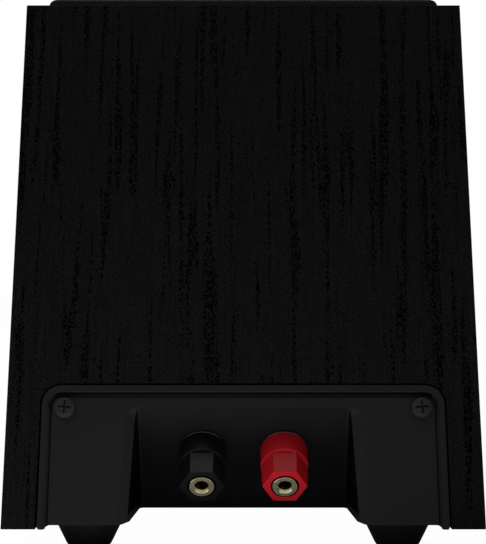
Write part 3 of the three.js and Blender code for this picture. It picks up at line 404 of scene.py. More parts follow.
def tinted(tree, share, first, second):
    """A colour between two, by a share from 0 to 1. A plain number is a grey."""
    node = tree.nodes.new("ShaderNodeMix")
    node.data_type = "RGBA"
    # Inputs 6 and 7 and output 2 are the colour sockets of this node.
    for socket, value in zip((node.inputs[6], node.inputs[7]), (first, second)):
        if isinstance(value, float):
            value = (value,) * 3
        if isinstance(value, tuple):
            socket.default_value = (*value, 1)
        else:
            tree.links.new(value, socket)
    tree.links.new(share, node.inputs[0])
    return node.outputs[2]


def bumped(tree, shader, height, strength, depth):
    node = tree.nodes.new("ShaderNodeBump")
    node.inputs["Strength"].default_value = strength
    node.inputs["Distance"].default_value = depth
    tree.links.new(height, node.inputs["Height"])
    tree.links.new(node.outputs["Normal"], shader.inputs["Normal"])


# %% One recipe for moulded, painted and metal surfaces
def speckled(name, dark, light, grain, roughness, specular=0.5, metallic=0.0, bump=0.3,
             depth=5e-5):
    """Two near colours and two roughnesses mixed by fine and broad noise, with a small bump."""
    broad_grain = 45
    material, tree, shader = new_finish(name, roughness[0], specular, metallic)
    fine = noise(tree, pattern_space(tree, (grain,) * 3), detail=3)
    broad = noise(tree, pattern_space(tree, (broad_grain,) * 3))
    both = weighed(tree, fine, broad, 0.7)
    share = graded(tree, both, 0.35, 0.65)
    tree.links.new(tinted(tree, share, dark, light), shader.inputs["Base Color"])
    tree.links.new(graded(tree, both, 0.3, 0.7, *roughness), shader.inputs["Roughness"])
    bumped(tree, shader, fine, bump, depth)
    return material


# %% [markdown]
# ## Black wood-grain vinyl
# The cabinet is wrapped in a black film printed and pressed like open-pored ash. Close up it has
# a fine pebbly touch, thin upright lines, and clusters of darker pores that gather into upright
# bands. Noise that is stretched along the panel's rise makes lines and pores, and a slow noise
# decides where the pores gather. The same film lies level on the top margin and underneath.


# %% The vinyl's recipe
def ash_vinyl(name, turn):
    """Film with a pebbly touch and fine lines, and pores where their noise passes a level."""
    pore_black, film_dark, film_light = 0.00005, 0.0032, (0.0059, 0.0058, 0.0058)
    level_for_few, level_for_many = 0.70, 0.49
    material, tree, shader = new_finish(name, 0.55, 0.008)

    def grain(per_metre, **settings):
        return noise(tree, pattern_space(tree, per_metre, turn), **settings)

    stipple = grain((1500, 1500, 1200), fineness=0.6)
    lines = grain((1700, 1700, 60), distortion=0.3)
    bands = grain((370, 370, 14), detail=1.0, distortion=0.6)
    drift = grain((60, 60, 20), distortion=0.5)
    pores = grain((2450, 2450, 1300), detail=0.5, distortion=0.2)
    gathered = graded(tree, weighed(tree, bands, drift, 0.75), 0.5, 0.62)
    level = graded(tree, gathered, 0.0, 1.0, level_for_few, level_for_many)
    pore = graded(tree, arithmetic(tree, "SUBTRACT", pores, level), 0.0, 0.01)
    touch = weighed(tree, stipple, lines, 0.65)
    film = tinted(tree, graded(tree, touch, 0.38, 0.62), film_dark, film_light)
    tree.links.new(tinted(tree, pore, film, pore_black), shader.inputs["Base Color"])
    tree.links.new(graded(tree, pore, 0, 1, 0.52, 0.95), shader.inputs["Roughness"])
    height = arithmetic(tree, "SUBTRACT", touch, arithmetic(tree, "MULTIPLY", pore, 0.8))
    bumped(tree, shader, height, 0.35, 6e-5)
    return material


vinyl_upright = ash_vinyl("vinyl_upright", (-lean, 0, 0))
vinyl_level = ash_vinyl("vinyl_level", (-lean, pi / 2, 0))
print("nodes of the vinyl:", len(vinyl_upright.node_tree.nodes))

# %% Plastics, paint and rubber
etched = {"bump": 0.2, "depth": 3e-5}
glossy = {"bump": 0.03, "depth": 1e-5}
baffle_paint = speckled("baffle_paint", 0.004, 0.007, 900, (0.5, 0.65), 0.06)
cup_plastic = speckled("cup_plastic", 0.0052, 0.0058, 1900, (0.48, 0.56), 0.06, **etched)
# A darker copy of the cup's plastic: painted shade for the leaning wall deep in the recess.
cup_wall_painted_shade = speckled("cup_wall_painted_shade", 0.0042, 0.0047, 1900, (0.5, 0.58), 0.045, **etched)
# Near-black plastic: painted shade for the recess's steep sides and the step under the rim.
cup_painted_shade = speckled("cup_painted_shade", 0.0020, 0.0024, 700, (0.3, 0.4), 0.0)
# Near-black for painted shade inside the caps' bores, whatever the cap's colour.
cap_bore_painted_shade = speckled("cap_bore_painted_shade", 0.0006, 0.0009, 700, (0.5, 0.6), 0.0)
foot_rubber = speckled("foot_rubber", 0.0064, 0.008, 1200, (0.35, 0.5), 0.02)
screw_black = speckled("screw_black", 0.0125, 0.016, 1400, (0.32, 0.45), 0.03)
cap_red = speckled("cap_red", (0.24, 0.0050, 0.0088), (0.26, 0.0058, 0.0098), 600, (0.3, 0.36),
                   0.065, **glossy)
cap_black = speckled("cap_black", 0.0022, 0.0028, 600, (0.3, 0.36), 0.06, **glossy)
driver_black = speckled("driver_black", 0.006, 0.010, 1500, (0.4, 0.55), 0.12)
surround_rubber = speckled("surround_rubber", 0.004, 0.007, 900, (0.45, 0.6), 0.15)
grille_moulding = speckled("grille_moulding", 0.006, 0.010, 900, (0.5, 0.6), 0.12)
lead_red = speckled("lead_red", (0.35, 0.012, 0.012), (0.45, 0.02, 0.02), 500, (0.35, 0.5))
lead_black = speckled("lead_black", 0.010, 0.018, 500, (0.35, 0.5), 0.3)
print("finishes so far:", len(bpy.data.materials))

# %% Metals
turned_brass = {"metallic": 1.0, "bump": 0.06, "depth": 1e-5}
brass = speckled("brass", (0.27, 0.25, 0.16), (0.33, 0.305, 0.2), 500, (0.22, 0.3),
                 **turned_brass)
# Painted light: a deeper, browner brass for the inside of the socket, in place of light bouncing
# between its walls.
brass_bore_painted_light = speckled("brass_bore_painted_light", (0.34, 0.22, 0.03), (0.40, 0.27, 0.04), 500, (0.22, 0.3),
                      **turned_brass)
brass_shaded = speckled("brass_shaded", (0.05, 0.047, 0.034), (0.07, 0.066, 0.048), 500,
                        (0.4, 0.5), **turned_brass)
nut_steel = speckled("nut_steel", (0.45, 0.45, 0.44), (0.58, 0.58, 0.56), 800, (0.25, 0.4),
                     metallic=1.0)
motor_steel = speckled("motor_steel", (0.40, 0.41, 0.42), (0.52, 0.52, 0.53), 500, (0.35, 0.5),
                       metallic=1.0)
copper = speckled("copper", (0.48, 0.17, 0.07), (0.62, 0.26, 0.12), 1200, (0.25, 0.4),
                  metallic=1.0)
print("finishes so far:", len(bpy.data.materials))

# %% Paper, cloth, foam, ceramics and the board
cone_pulp = speckled("cone_pulp", 0.010, 0.022, 600, (0.7, 0.9), 0.2, bump=0.6, depth=2e-4)
dome_silk = speckled("dome_silk", 0.008, 0.014, 2400, (0.5, 0.7), 0.2)
spider_cloth = speckled("spider_cloth", (0.36, 0.26, 0.12), (0.48, 0.36, 0.18), 1600, (0.8, 1.0),
                        bump=0.7, depth=2e-4)
gasket_foam = speckled("gasket_foam", 0.012, 0.03, 1800, (0.9, 1.0), 0.1, bump=0.8, depth=2e-4)
wadding = speckled("wadding", (0.55, 0.55, 0.53), (0.75, 0.75, 0.72), 380, (0.9, 1.0), 0.2,
                   bump=1.0, depth=8e-4)
ferrite = speckled("ferrite", 0.028, 0.045, 700, (0.6, 0.8), 0.3)
ceramic = speckled("ceramic", (0.55, 0.54, 0.50), (0.68, 0.67, 0.63), 900, (0.6, 0.8))
board_green = speckled("board_green", (0.012, 0.10, 0.03), (0.02, 0.15, 0.05), 350, (0.3, 0.5))
capacitor_film = speckled("capacitor_film", (0.45, 0.30, 0.04), (0.55, 0.38, 0.06), 260,
                          (0.25, 0.4))
print("finishes:", len(bpy.data.materials))

# %% [markdown]
# ## The grille's woven cloth
# The cloth is a plain black weave with threads about half a millimetre apart. Two wave textures
# at right angles, in the frame of the sloping baffle, lift the threads over and under each other,
# and the gaps between them get a painted shade, darker where the weave is low. This weave is a
# texture because no thread stands free.


# %% Weave
def woven_black(name):
    threads, one_wave_a_unit = 2000, 0.314
    material, tree, shader = new_finish(name, 0.85, 0.04)
    turn = (-(pi / 2 + lean), 0, 0)
    heights = []
    for per_metre in ((threads, 0, 0), (0, 0, threads)):
        wave = tree.nodes.new("ShaderNodeTexWave")
        wave.wave_type = "BANDS"
        wave.bands_direction = "DIAGONAL"
        wave.inputs["Scale"].default_value = one_wave_a_unit
        wave.inputs["Distortion"].default_value = 0.6
        wave.inputs["Detail"].default_value = 1.0
        tree.links.new(pattern_space(tree, per_metre, turn), wave.inputs["Vector"])
        heights.append(wave.outputs["Fac"])
    height = arithmetic(tree, "MAXIMUM", *heights)
    slub = noise(tree, pattern_space(tree, (120, 900, 900), turn))
    # Painted shade: the colour follows the weave's height, so the gaps between threads are darker.
    share = arithmetic(tree, "MULTIPLY", height, graded(tree, slub, 0.3, 0.7, 0.7, 1.0))
    tree.links.new(tinted(tree, share, 0.0050, 0.0130), shader.inputs["Base Color"])
    bumped(tree, shader, height, 0.6, 1.2e-4)
    return material


grille_weave = woven_black("grille_weave")
print("nodes of the weave:", len(grille_weave.node_tree.nodes))

# %% [markdown]
# ## The cabinet
# The real box is made of mitred boards under one sheet of vinyl, so no joint line shows. One
# hollow shell stands for the six boards: a cube whose corners move to the wedge's corners, with
# softened edges, a smaller wedge cut out of it, and openings for the terminal cup and the
# drivers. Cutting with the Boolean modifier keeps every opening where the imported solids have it.


# %% Wedge corners, and the same outline moved inwards
def inset_outline(corners, distance):
    """Move each side of an outline inwards, and find where neighbours meet again."""
    moved_lines = []
    for (y0, z0), (y1, z1) in zip(corners, corners[1:] + corners[:1]):
        length = ((y1 - y0) ** 2 + (z1 - z0) ** 2) ** 0.5
        ny, nz = -(z1 - z0) / length, (y1 - y0) / length
        moved_lines.append((ny, nz, ny * y0 + nz * z0 + distance))
    result = []
    for (a, b, c), (d, e, f) in zip(moved_lines[-1:] + moved_lines[:-1], moved_lines):
        det = a * e - b * d
        result.append(((c * e - b * f) / det, (a * f - c * d) / det))
    return result


def wedge(corners, half_width):
    order = {(1, -1): 0, (1, 1): 1, (-1, 1): 2, (-1, -1): 3}
    return corner_body(lambda sx, sy, sz: [sx * half_width, *corners[order[(sy, sz)]]])


inner_view = inset_outline(side_view, panel)
print("inside ridge at", [round(v, 2) for v in inner_view[1]])

# %% Sizes of the terminal plate and its recess
plate_bottom, plate_height, plate_thickness, plate_corner = 0.5, 47.7, 3.4, 6.3
plate_top, plate_half = plate_bottom + plate_height, width / 2 - 11.65
field_depth = 1.2
recess_drop, recess_half_at_foot, recess_draft = 6.574, 35.7, radians(3.6)
recess_top = (plate_top - recess_drop) * cos(lean)
wall_top_inset, wall_foot_inset, wall_foot_height = recess_top * tan(lean), 42.05, 1.0
wall_tilt = atan2(wall_foot_inset - wall_top_inset, recess_top - wall_foot_height)
wall_angle = wall_tilt + lean
print("recess wall leans", round(degrees(wall_tilt), 2), "degrees")


# %% The recess as a cutter
def rear_point(inset, height):
    """(out, up) in the rear panel's frame of a point inset from the rear edge over the base."""
    return (-inset * cos(lean) + height * sin(lean), inset * sin(lean) + height * cos(lean))


wall_foot = rear_point(wall_foot_inset, wall_foot_height)


def before_wall(out, up):
    """How far a point of the rear panel's frame lies before the recess's wall."""
    return (out - wall_foot[0]) * cos(wall_angle) - (up - wall_foot[1]) * sin(wall_angle)


def recess_half(out, up):
    """Half of the recess's width, which grows towards the mouth by the mould's draft."""
    return recess_half_at_foot + before_wall(out, up) * tan(recess_draft)


def recess_body(offset, bottom, top_out, front_out):
    """The recess as a body in the rear frame, with its walls moved out by an offset."""
    rise = ((top_out - wall_foot[0]) * cos(wall_angle) + offset) / sin(wall_angle)
    low_inset = wall_top_inset + (recess_top - bottom) * tan(wall_tilt) + offset / cos(wall_tilt)
    corners = {
        (-1, 1): (top_out, wall_foot[1] + rise), (1, 1): (front_out, wall_foot[1] + rise),
        (-1, -1): rear_point(low_inset, bottom),
        (1, -1): (front_out, (bottom - front_out * sin(lean)) / cos(lean)),
    }
    return corner_body(lambda sx, sy, sz: [
        sx * (recess_half(*corners[(sy, sz)]) + offset), *corners[(sy, sz)]
    ])


print("wall foot in the rear frame:", [round(v, 2) for v in wall_foot])

# %% Places of the drivers and of the grille's pegs on the baffle
tweeter_margin, driver_gap, woofer_margin, woofer_share = 24, 7, 18, 0.6129
driver_room = baffle_length - tweeter_margin - driver_gap - woofer_margin
woofer_radius = driver_room * woofer_share / 2
tweeter_radius = driver_room / 2 - woofer_radius
tweeter_place = tweeter_margin + tweeter_radius
woofer_place = baffle_length - woofer_margin - woofer_radius
grille_inset, peg_inset = 6.85, 7.6
grille_half, grille_reach = width / 2 - grille_inset, baffle_length / 2 - grille_inset
peg_places = [
    (sx * (grille_half - peg_inset), baffle_length / 2 + sz * (grille_reach - peg_inset))
    for sz in (-1, 1) for sx in (-1, 1)
]
print("woofer radius", round(woofer_radius, 2), "at", round(woofer_place, 2), "down the baffle")

# %% The notch at the foot of the plate, as a cutter: S-shaped ends, higher under the recess
notch_half, notch_rise, notch_round, notch_slope = 64.72, 1.39, 0.69, 0.2
notch_start, notch_depth = 8, 17
outline = [(notch_half, -8)]
for angle in quarter:
    outline.append((notch_half - notch_round * sin(angle), 0.02 + notch_round * (1 - cos(angle))))
for angle in quarter:
    outline.append((notch_half - notch_round * (2 - cos(angle)),
                    notch_rise - notch_round * (1 - sin(angle))))
outline += [(40.6, notch_rise), (39.25, 1.65), (37.96, 2.29), (37.0, 2.94), (36.6, 3.7),
            (36.0, 4.9), (35.4, 5.5), (34.9, 6.1), (34.2, 6.6), (33.2, 6.85)]
outline += [(-x, up) for x, up in reversed(outline)]
notch = bmesh.new()
face = notch.faces.new([
    notch.verts.new((x, notch_start, up - notch_start * notch_slope)) for x, up in outline
])
grown = bmesh.ops.extrude_face_region(notch, geom=[face])
back = [g for g in grown["geom"] if isinstance(g, bmesh.types.BMVert)]
bmesh.ops.translate(notch, verts=back, vec=(0, -notch_depth, notch_depth * notch_slope))
bmesh.ops.recalc_face_normals(notch, faces=notch.faces)
print("points of the notch:", len(notch.verts))

# %% Shell with softened edges and a marked baffle face
vinyl_margin = 9.4
shell = wedge(side_view, width / 2)
bmesh.ops.recalc_face_normals(shell, faces=shell.faces)
round_edges(shell, every_edge, 0.25)
baffle_out = Vector((0, -sin(lean), cos(lean)))
sloping = [face for face in shell.faces if face.normal.dot(baffle_out) > 0.999]
top_face = max(sloping, key=lambda face: face.calc_area())
bmesh.ops.inset_region(shell, faces=[top_face], thickness=vinyl_margin, use_even_offset=True)
top_face.material_index = 1
print("baffle face:", round(top_face.calc_area() / 100), "square centimetres")

# %% Openings of the shell
fit, rebate, woofer_hole, tweeter_hole = 0.65, 3.5, 48.3, 28.7
pocket = block((-plate_half - fit, -5, -12), (plate_half + fit, 6, plate_top + fit))
round_edges(pocket, lambda m, way: m.z > 20 and abs(m.x) > 60 and abs(way.y) > 0.99,
            plate_corner + fit, 10)
wall_relief = turned_frame(rear_y - wall_foot_inset, foot_height + 1.05, radians(8.5))
cutters = [
    wedge(inner_view, width / 2 - panel),
    moved(notch.copy(), rear_mm),
    moved(pocket, rear_mm),
    moved(recess_body(3.15, -5, 5, 10), rear_mm),
    moved(block((-40, -13, -3), (40, 10, 0)), wall_relief),
]
for radius, depth, down in (
    (woofer_radius + fit, rebate, woofer_place), (woofer_hole, 20, woofer_place),
    (tweeter_radius + fit, rebate, tweeter_place), (tweeter_hole, 20, tweeter_place),
):
    cutters.append(moved(at(bore(radius, -depth, 5, 96), 0, down), baffle_mm))
cutters += [moved(at(bore(4.2, -8.8, 5, 32), x, down), baffle_mm) for x, down in peg_places]
cabinet_bm = carve(shell, cutters)
print("openings cut:", len(cutters) - 1)

# %% The shell's object and its vinyl
cabinet_shell = finish_piece("cabinet_shell", cabinet_bm, to_metres,
                             [vinyl_upright, baffle_paint, vinyl_level], 28)
for face in cabinet_shell.data.polygons:
    if abs(face.normal.z) > 0.9 and face.material_index == 0:
        face.material_index = 2
hand_over(cabinet_shell, "cabinet", "cabinet_vinyl", "side_panel_left", "side_panel_right",
          "back_panel", "baffle_board", "front_panel", "bottom_panel")

# %% [markdown]
# ## Rubber feet
# Four dark rubber feet taper towards the ground and end in a rounded edge. A foot is a turned
# part, so it is spun from half of its outline.

# %% Feet
foot_half, foot_inset = 51.25, 20
foot_outline = [(0, 0), (4.2, 0)]
for angle in quarter:
    fall = 1 - cos(angle)
    foot_outline.append((4.6 + 2 * (sin(angle) + 0.4889 * fall), 2 * fall))
foot_outline += [(10.7, 8.386), (10.95, 8.75), (10.95, 9.0), (0, 9.0)]
for end, y in (("rear", rear_y - foot_inset), ("front", front_foot[0] + foot_inset)):
    for side, x in (("left", -foot_half), ("right", foot_half)):
        foot = finish_piece(f"foot_{end}_{side}_rubber", lathe(foot_outline, 72, closed=False),
                            to_metres @ turned_frame(y, 0, pi / 2, x), [foot_rubber], 40)
        hand_over(foot, "cabinet", "foot_rubber", f"foot_{end}_{side}")

# %% [markdown]
# ## The terminal cup
# One moulding closes the back of the cabinet: a plate with a raised rim on three sides, and a
# recess whose leaning wall carries the two terminals. The plate is made by insetting the face of
# a block and pushing it in, and is then cut square at its foot. The recess is cut with a body
# whose inner corners are already round, and its mouth is rounded afterwards, as on a real mould.
# The open faces are finely etched. The recess's steep sides and the step under the rim get a
# painted shade of near-black plastic, and its leaning wall a milder painted shade of darker
# plastic.

# %% Plate with a raised rim
plate = block((-plate_half, -plate_thickness, -25), (plate_half, 0, plate_top))
round_edges(plate, lambda m, way: m.z > 20 and abs(way.y) > 0.99, plate_corner, 12)
bmesh.ops.recalc_face_normals(plate, faces=plate.faces)
front_face = max(plate.faces, key=lambda face: face.calc_center_median().y)
rim_crest, wider_at_top = 1.62, 0.7
bmesh.ops.inset_region(plate, faces=[front_face], thickness=rim_crest, use_even_offset=True)
inner_loop = [vert for vert in front_face.verts if vert.co.z > 20]
bmesh.ops.translate(plate, verts=inner_loop, vec=(0, 0, -wider_at_top))
for thickness, depth in ((1.0, -field_depth), (0.3, -0.75), (0.3, 0.6), (1.3, 0.15)):
    bmesh.ops.inset_region(plate, faces=[front_face], thickness=thickness, depth=depth,
                           use_even_offset=True)
crest_edges = [edge for edge in plate.edges
               if all(abs(v.co.y) < 0.01 and v.co.z > -10 for v in edge.verts)
               and edge.calc_face_angle(0) > 0.1]
bmesh.ops.bevel(plate, geom=crest_edges, offset=0.35, offset_type="OFFSET", affect="EDGES",
                segments=4, profile=0.5, material=-1, clamp_overlap=True)
square_foot = sliced(plate, (0, 0, 0.62), (0, 0, -1), clear_outer=True)
bmesh.ops.contextual_create(
    plate, geom=[g for g in square_foot if isinstance(g, bmesh.types.BMEdge)],
)
# Three level cuts give the sides more points, so the flat faces merge a little differently later.
for height in (3.6, 3.2, 2.8):
    sliced(plate, (0, 0, height), (0, 0, 1))
print("plate faces:", len(plate.faces), "closed:", all(e.is_manifold for e in plate.edges))

# %% Recess, bucket and holes as bodies
bucket = recess_body(2.5, 1.0, -plate_thickness, -(plate_thickness + field_depth) / 2)
hollow = recess_body(0, -5, 5, 10)
bmesh.ops.recalc_face_normals(hollow, faces=hollow.faces)


def recess_corner(middle, way):
    """The upright corners between the recess's wall and its sides."""
    return abs(before_wall(middle.y, middle.z)) < 0.5 and abs(way.x) < 0.5


print("recess corners rounded:", round_edges(hollow, recess_corner, 1.5, 6))
post_drop, post_half_distance, post_hole = 15.486, 13.63, 3.3
post_seat_height = recess_top - post_drop
post_seat = rear_point(wall_top_inset + post_drop * tan(wall_tilt), post_seat_height)
screw_places = [(side * (plate_half - 7.45), plate_top - 7.7) for side in (-1, 1)]
holes = [at(bore(2.0, -8, 5, 32), x, up) for x, up in screw_places]
for side in (-1, 1):
    place = turned_frame(*post_seat, -wall_angle, side * post_half_distance)
    holes.append(moved(bore(post_hole, -8, 5, 32), place))
print("holes:", len(holes))

# %% The chamfer of the mouth, and all cuts
flare_depth, flare_spread = 1.9, 2.9


def flare(sx, sy, sz):
    """The chamfer at the sides of the mouth: spread at the field, none at its depth."""
    out = -field_depth + (5 if sy > 0 else -flare_depth)
    grow = 5 / flare_depth + 1 if sy > 0 else 0
    up = wall_foot[1] + (out - wall_foot[0]) / tan(wall_angle) if sz > 0 else -8
    return [sx * (recess_half(out, up) + flare_spread * grow), out, up]


mouth = corner_body(flare)
print("mouth corners rounded:",
      round_edges(mouth, lambda m, way: m.z > 20 and abs(way.y) > 0.5, 2.4, 6))
cup = carve(carve(plate, [bucket], "UNION"), [notch, hollow, mouth, *holes])
dissolve_flat(cup, 0.6)
print("cup faces after cutting:", len(cup.faces))


# %% Rounding the mouth of the recess
def near_mouth(middle, top):
    return abs(middle.x) < 46 and 2.4 < middle.z < top


def field_edge(middle, way):
    return near_mouth(middle, 43) and abs(middle.y + field_depth) < 0.05


def side_edge(middle, way):
    at_depth = abs(middle.y + field_depth + flare_depth) < 0.12
    return near_mouth(middle, 37) and at_depth and abs(way.x) < 0.5


def foot_edge(middle, way):
    at_foot = 1.2 < middle.z < 2.0 and abs(middle.y + field_depth) < 0.3
    return at_foot and abs(way.x) > 0.98 and 43 < abs(middle.x) < 61


print("mouth edges rounded:", round_edges(cup, field_edge, 1.25, 5),
      round_edges(cup, side_edge, 0.8, 4), round_edges(cup, foot_edge, 0.22))


# %% Painted shade on the recess's sides, its wall and the step under the rim
def on_side(face, steep):
    return abs(face.normal.x) > steep and 34 < abs(face.calc_center_median().x) < 38.5


side_faces = [face for face in cup.faces if on_side(face, 0.4)]
side_parts = {part for face in side_faces for part in (*face.verts, *face.edges, face)}
foot_strip, foot_slope = 4.3, 0.336
bmesh.ops.bisect_plane(cup, geom=list(side_parts), dist=0.001,
                       plane_co=(0, 0, foot_strip), plane_no=(0, foot_slope, 1))
painted_shade = 0
for face in cup.faces:
    middle = face.calc_center_median()
    above_strip = middle.z + foot_slope * middle.y > foot_strip
    in_recess = on_side(face, 0.5 if middle.y < -4 else 0.85) and above_strip
    under_rim = face.normal.z < -0.6 and middle.y > -field_depth - 0.1 and middle.z > 43.5
    # Painted shade: the recess's steep sides and the step under the rim take the near-black
    # plastic.
    if in_recess or under_rim:
        face.material_index = 1
        painted_shade += 1
    # Painted shade: the downward-facing wall deep in the recess takes the darker plastic.
    elif face.normal.z < -0.7 and abs(middle.x) < 33 and middle.y < -8:
        face.material_index = 2
print("polished faces of the cup:", painted_shade)

# %% The cup's object
terminal_plate = finish_piece("terminal_plate", cup, on_rear,
                              [cup_plastic, cup_painted_shade, cup_wall_painted_shade], 35)
hand_over(terminal_plate, "cabinet", "cup_plastic", "terminal_cup")

# %% Foam gasket behind the plate
gasket_body = block((-plate_half + 1, -4.7, 2.9), (plate_half - 1, -3.7, plate_top - 1))
gasket = carve(gasket_body, [recess_body(2.8, -5, 5, 10)])
foam = finish_piece("cup_foam_gasket", gasket, on_rear, [gasket_foam])
hand_over(foam, "cabinet", "gasket_foam", "terminal_gasket")

# %% [markdown]
# ## Screws of the cup
# Two pan-head screws hold the cup. Each head is a spun dome with a soft shoulder, and a narrow
# cross is cut into it. The screws stop at slightly different turns, as real ones do.


# %% A pan-head screw
def pan_screw(head, height, shank, length, arm, slot_width, turned_by, steps=48):
    outline = [(0, -length), (shank, -length + shank), (shank, 0), (head - 0.12, 0), (head, 0.12)]
    shoulder = 0.42 * head
    for angle in quarter:
        outline.append((head - shoulder * (1 - cos(angle)), height * (0.4 + 0.5 * sin(angle))))
    outline += [(head * 0.3, height * 0.98), (0, height)]
    screw = lathe(outline, steps, closed=False)
    bars = []
    for way in (0, pi / 2):
        bar = block((-arm, height * 0.3, -slot_width / 2), (arm, height + 1, slot_width / 2))
        bars.append(moved(bar, Matrix.Rotation(turned_by + way, 4, "Y")))
    return carve(screw, bars)


for (x, up), side, turned_by in zip(screw_places, ("left", "right"), (0.08, -0.06)):
    body = pan_screw(3.5, 2.2, 1.7, 14, 2.15, 0.62, turned_by)
    place = on_rear @ Matrix.Translation((x, 0.3 - field_depth, up))
    screw = finish_piece(f"cup_screw_{side}_pan_head", body, place, [screw_black])
    hand_over(screw, "cabinet", "screw_black", f"cup_screw_{side}")

# %% [markdown]
# ## Screw terminals
# A terminal is a brass stud with a banana socket, and a coloured cap that screws down on a wire.
# The cap is a round collar joined to a six-sided grip, which narrows a little towards its end as
# moulded parts do. Between the collar's round edge and each flat a crescent faces the light.
# Both terminals stand at right angles to the leaning wall of the recess.

# %% Six-sided bodies, and the cap
collar, grip_wide, grip_narrow = 7.92, 7.78, 7.46
cap_foot, grip_foot, reach = 1.1, 9.47, 18.87
insert_low, insert_high = 1.7, 7.7


def six_sided(low_radius, high_radius, low, high):
    """A six-sided body along the drawing's Y axis."""
    bm = bmesh.new()
    bmesh.ops.create_cone(bm, cap_ends=True, segments=6, radius1=high_radius, radius2=low_radius,
                          depth=high - low)
    moved(bm, Matrix.Rotation(pi / 2, 4, "X"))
    moved(bm, Matrix.Rotation(pi / 6, 4, "Y"))
    return moved(bm, Matrix.Translation((0, (low + high) / 2, 0)))


def off_axis(point):
    return (point.x ** 2 + point.z ** 2) ** 0.5


def cap_body():
    round_part = lathe([
        (0, cap_foot), (collar - 0.3, cap_foot), (collar - 0.08, cap_foot + 0.1),
        (collar, cap_foot + 0.35), (collar, grip_foot - 0.25), (collar - 0.08, grip_foot - 0.08),
        (collar - 0.25, grip_foot), (0, grip_foot),
    ], closed=False)
    grip = six_sided(grip_wide, grip_narrow, grip_foot - 0.4, reach)
    round_edges(grip, lambda m, way: abs(way.y) > 0.99, 0.15)
    round_edges(grip, lambda m, way: m.y > reach - 0.1, 0.2)
    cap = carve(round_part, [grip], "UNION")
    cap = carve(cap, [bore(4.72, -2, 25), bore(6.6, -2, insert_high + 0.3)])
    for face in cap.faces:
        # Painted shade: the cap's inner bore takes a near-black finish, for the shade in the
        # narrow gap round the stud.
        if abs(face.normal.y) < 0.5 and off_axis(face.calc_center_median()) < 4.8:
            face.material_index = 1
    return cap


# %% Stud with its socket and a turned shoulder, and the nut
def stud_body():
    tip = reach + 0.35
    stud = lathe([
        (0, -12), (3, -12), (3, 0.3), (7.4, 0.3), (7.6, 0.4), (7.6, 0.65), (7.5, 0.75),
        (3.8, 0.75), (3.8, tip - 1.0), (4.14, tip - 0.8), (4.14, tip - 0.12), (4.02, tip),
        (2.75, tip), (2.6, tip - 0.1), (2.1, tip - 0.9), (2.0, tip - 1.1), (2.0, tip - 14),
        (0, tip - 14),
    ], 72, closed=False)
    across = Matrix.Translation((0, 2.6, 0)) @ Matrix.Rotation(pi / 2, 4, "Z")
    stud = carve(stud, [moved(bore(1.1, -9, 9, 24), across)])
    for face in stud.faces:
        middle = face.calc_center_median()
        # Painted light: the socket's inner wall takes the browner brass.
        if middle.y > tip - 14.5 and off_axis(middle) < 2.05:
            face.material_index = 1
        elif 0.25 < middle.y < 0.8:
            face.material_index = 2
    return stud


def nut_body():
    corner = 5 / cos(pi / 6)
    nut = six_sided(corner, corner, -5.3, -2.8)
    round_edges(nut, every_edge, 0.3, 2)
    return carve(nut, [bore(post_hole, -9, 2, 32)])


# %% Both terminals in place
insert_wall = [(4.45, insert_low), (6.35, insert_low), (6.35, insert_high), (4.45, insert_high)]
seat_y = rear_y + post_seat[0] * cos(lean) - post_seat[1] * sin(lean)
for side, color, cap_finish in ((-1, "red", cap_red), (1, "black", cap_black)):
    place = to_metres @ turned_frame(seat_y, foot_height + post_seat_height, -wall_tilt,
                                     side * post_half_distance)
    for part, body, finishes, slot, rides in (
        ("stud", stud_body(), [brass, brass_bore_painted_light, brass_shaded], "brass", "cabinet"),
        ("cap", cap_body(), [cap_finish, cap_bore_painted_shade], f"cap_{color}", f"{color}_cap"),
        ("insert", lathe(insert_wall, 64), [brass], "brass", f"{color}_bush"),
        ("nut", nut_body(), [nut_steel], "nut_steel", "cabinet"),
    ):
        piece = finish_piece(f"terminal_{color}_{part}", body, place, finishes)
        hand_over(piece, rides, slot, f"post_{color}_{part}")
print("terminal axis leans", round(degrees(wall_tilt), 1), "degrees below level")

# %% [markdown]
# ## The grille
# The front grille is cloth stretched over a moulded frame, like a shallow tray with round
# corners and soft edges. The tray starts as a block: its corners and its front edges are
# bevelled, its back face is taken away, and the Solidify modifier gives the cloth its thickness.

# %% Cloth tray
grille_height, grille_corner = 6.85, 3.4
tray = block((-grille_half, 0.3, -grille_reach), (grille_half, grille_height, grille_reach))
round_edges(tray, lambda m, way: abs(way.y) > 0.99, grille_corner, 8)
round_edges(tray, lambda m, way: m.y > grille_height - 0.01, 1.8, 6)
back = min(tray.faces, key=lambda face: face.calc_center_median().y)
bmesh.ops.delete(tray, geom=[back], context="FACES_ONLY")
at(tray, 0, baffle_length / 2)
cloth = finish_piece("grille_fabric", tray, on_baffle, [grille_weave], 60)
thick = cloth.modifiers.new("cloth_thickness", "SOLIDIFY")
thick.thickness = 0.0007
thick.offset = -1
hand_over(cloth, "grille", "grille_cloth", "grille_cloth")

# %% [markdown]
# ## Drivers behind the grille
# The woofer and the tweeter are round, so their visible pieces are spun: a pressed frame with
# windows, a paper cone with a half-round rubber roll, a dust cap, a moulded tweeter face and a
# silk dome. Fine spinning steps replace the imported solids' flats where they would be seen.


# %% Woofer frame
def flange(radius):
    """The outer edge of a driver's face, with a softened corner."""
    return [(radius - 0.4, -0.2), (radius - 0.1, -0.32), (radius, -0.6), (radius, -3.2)]


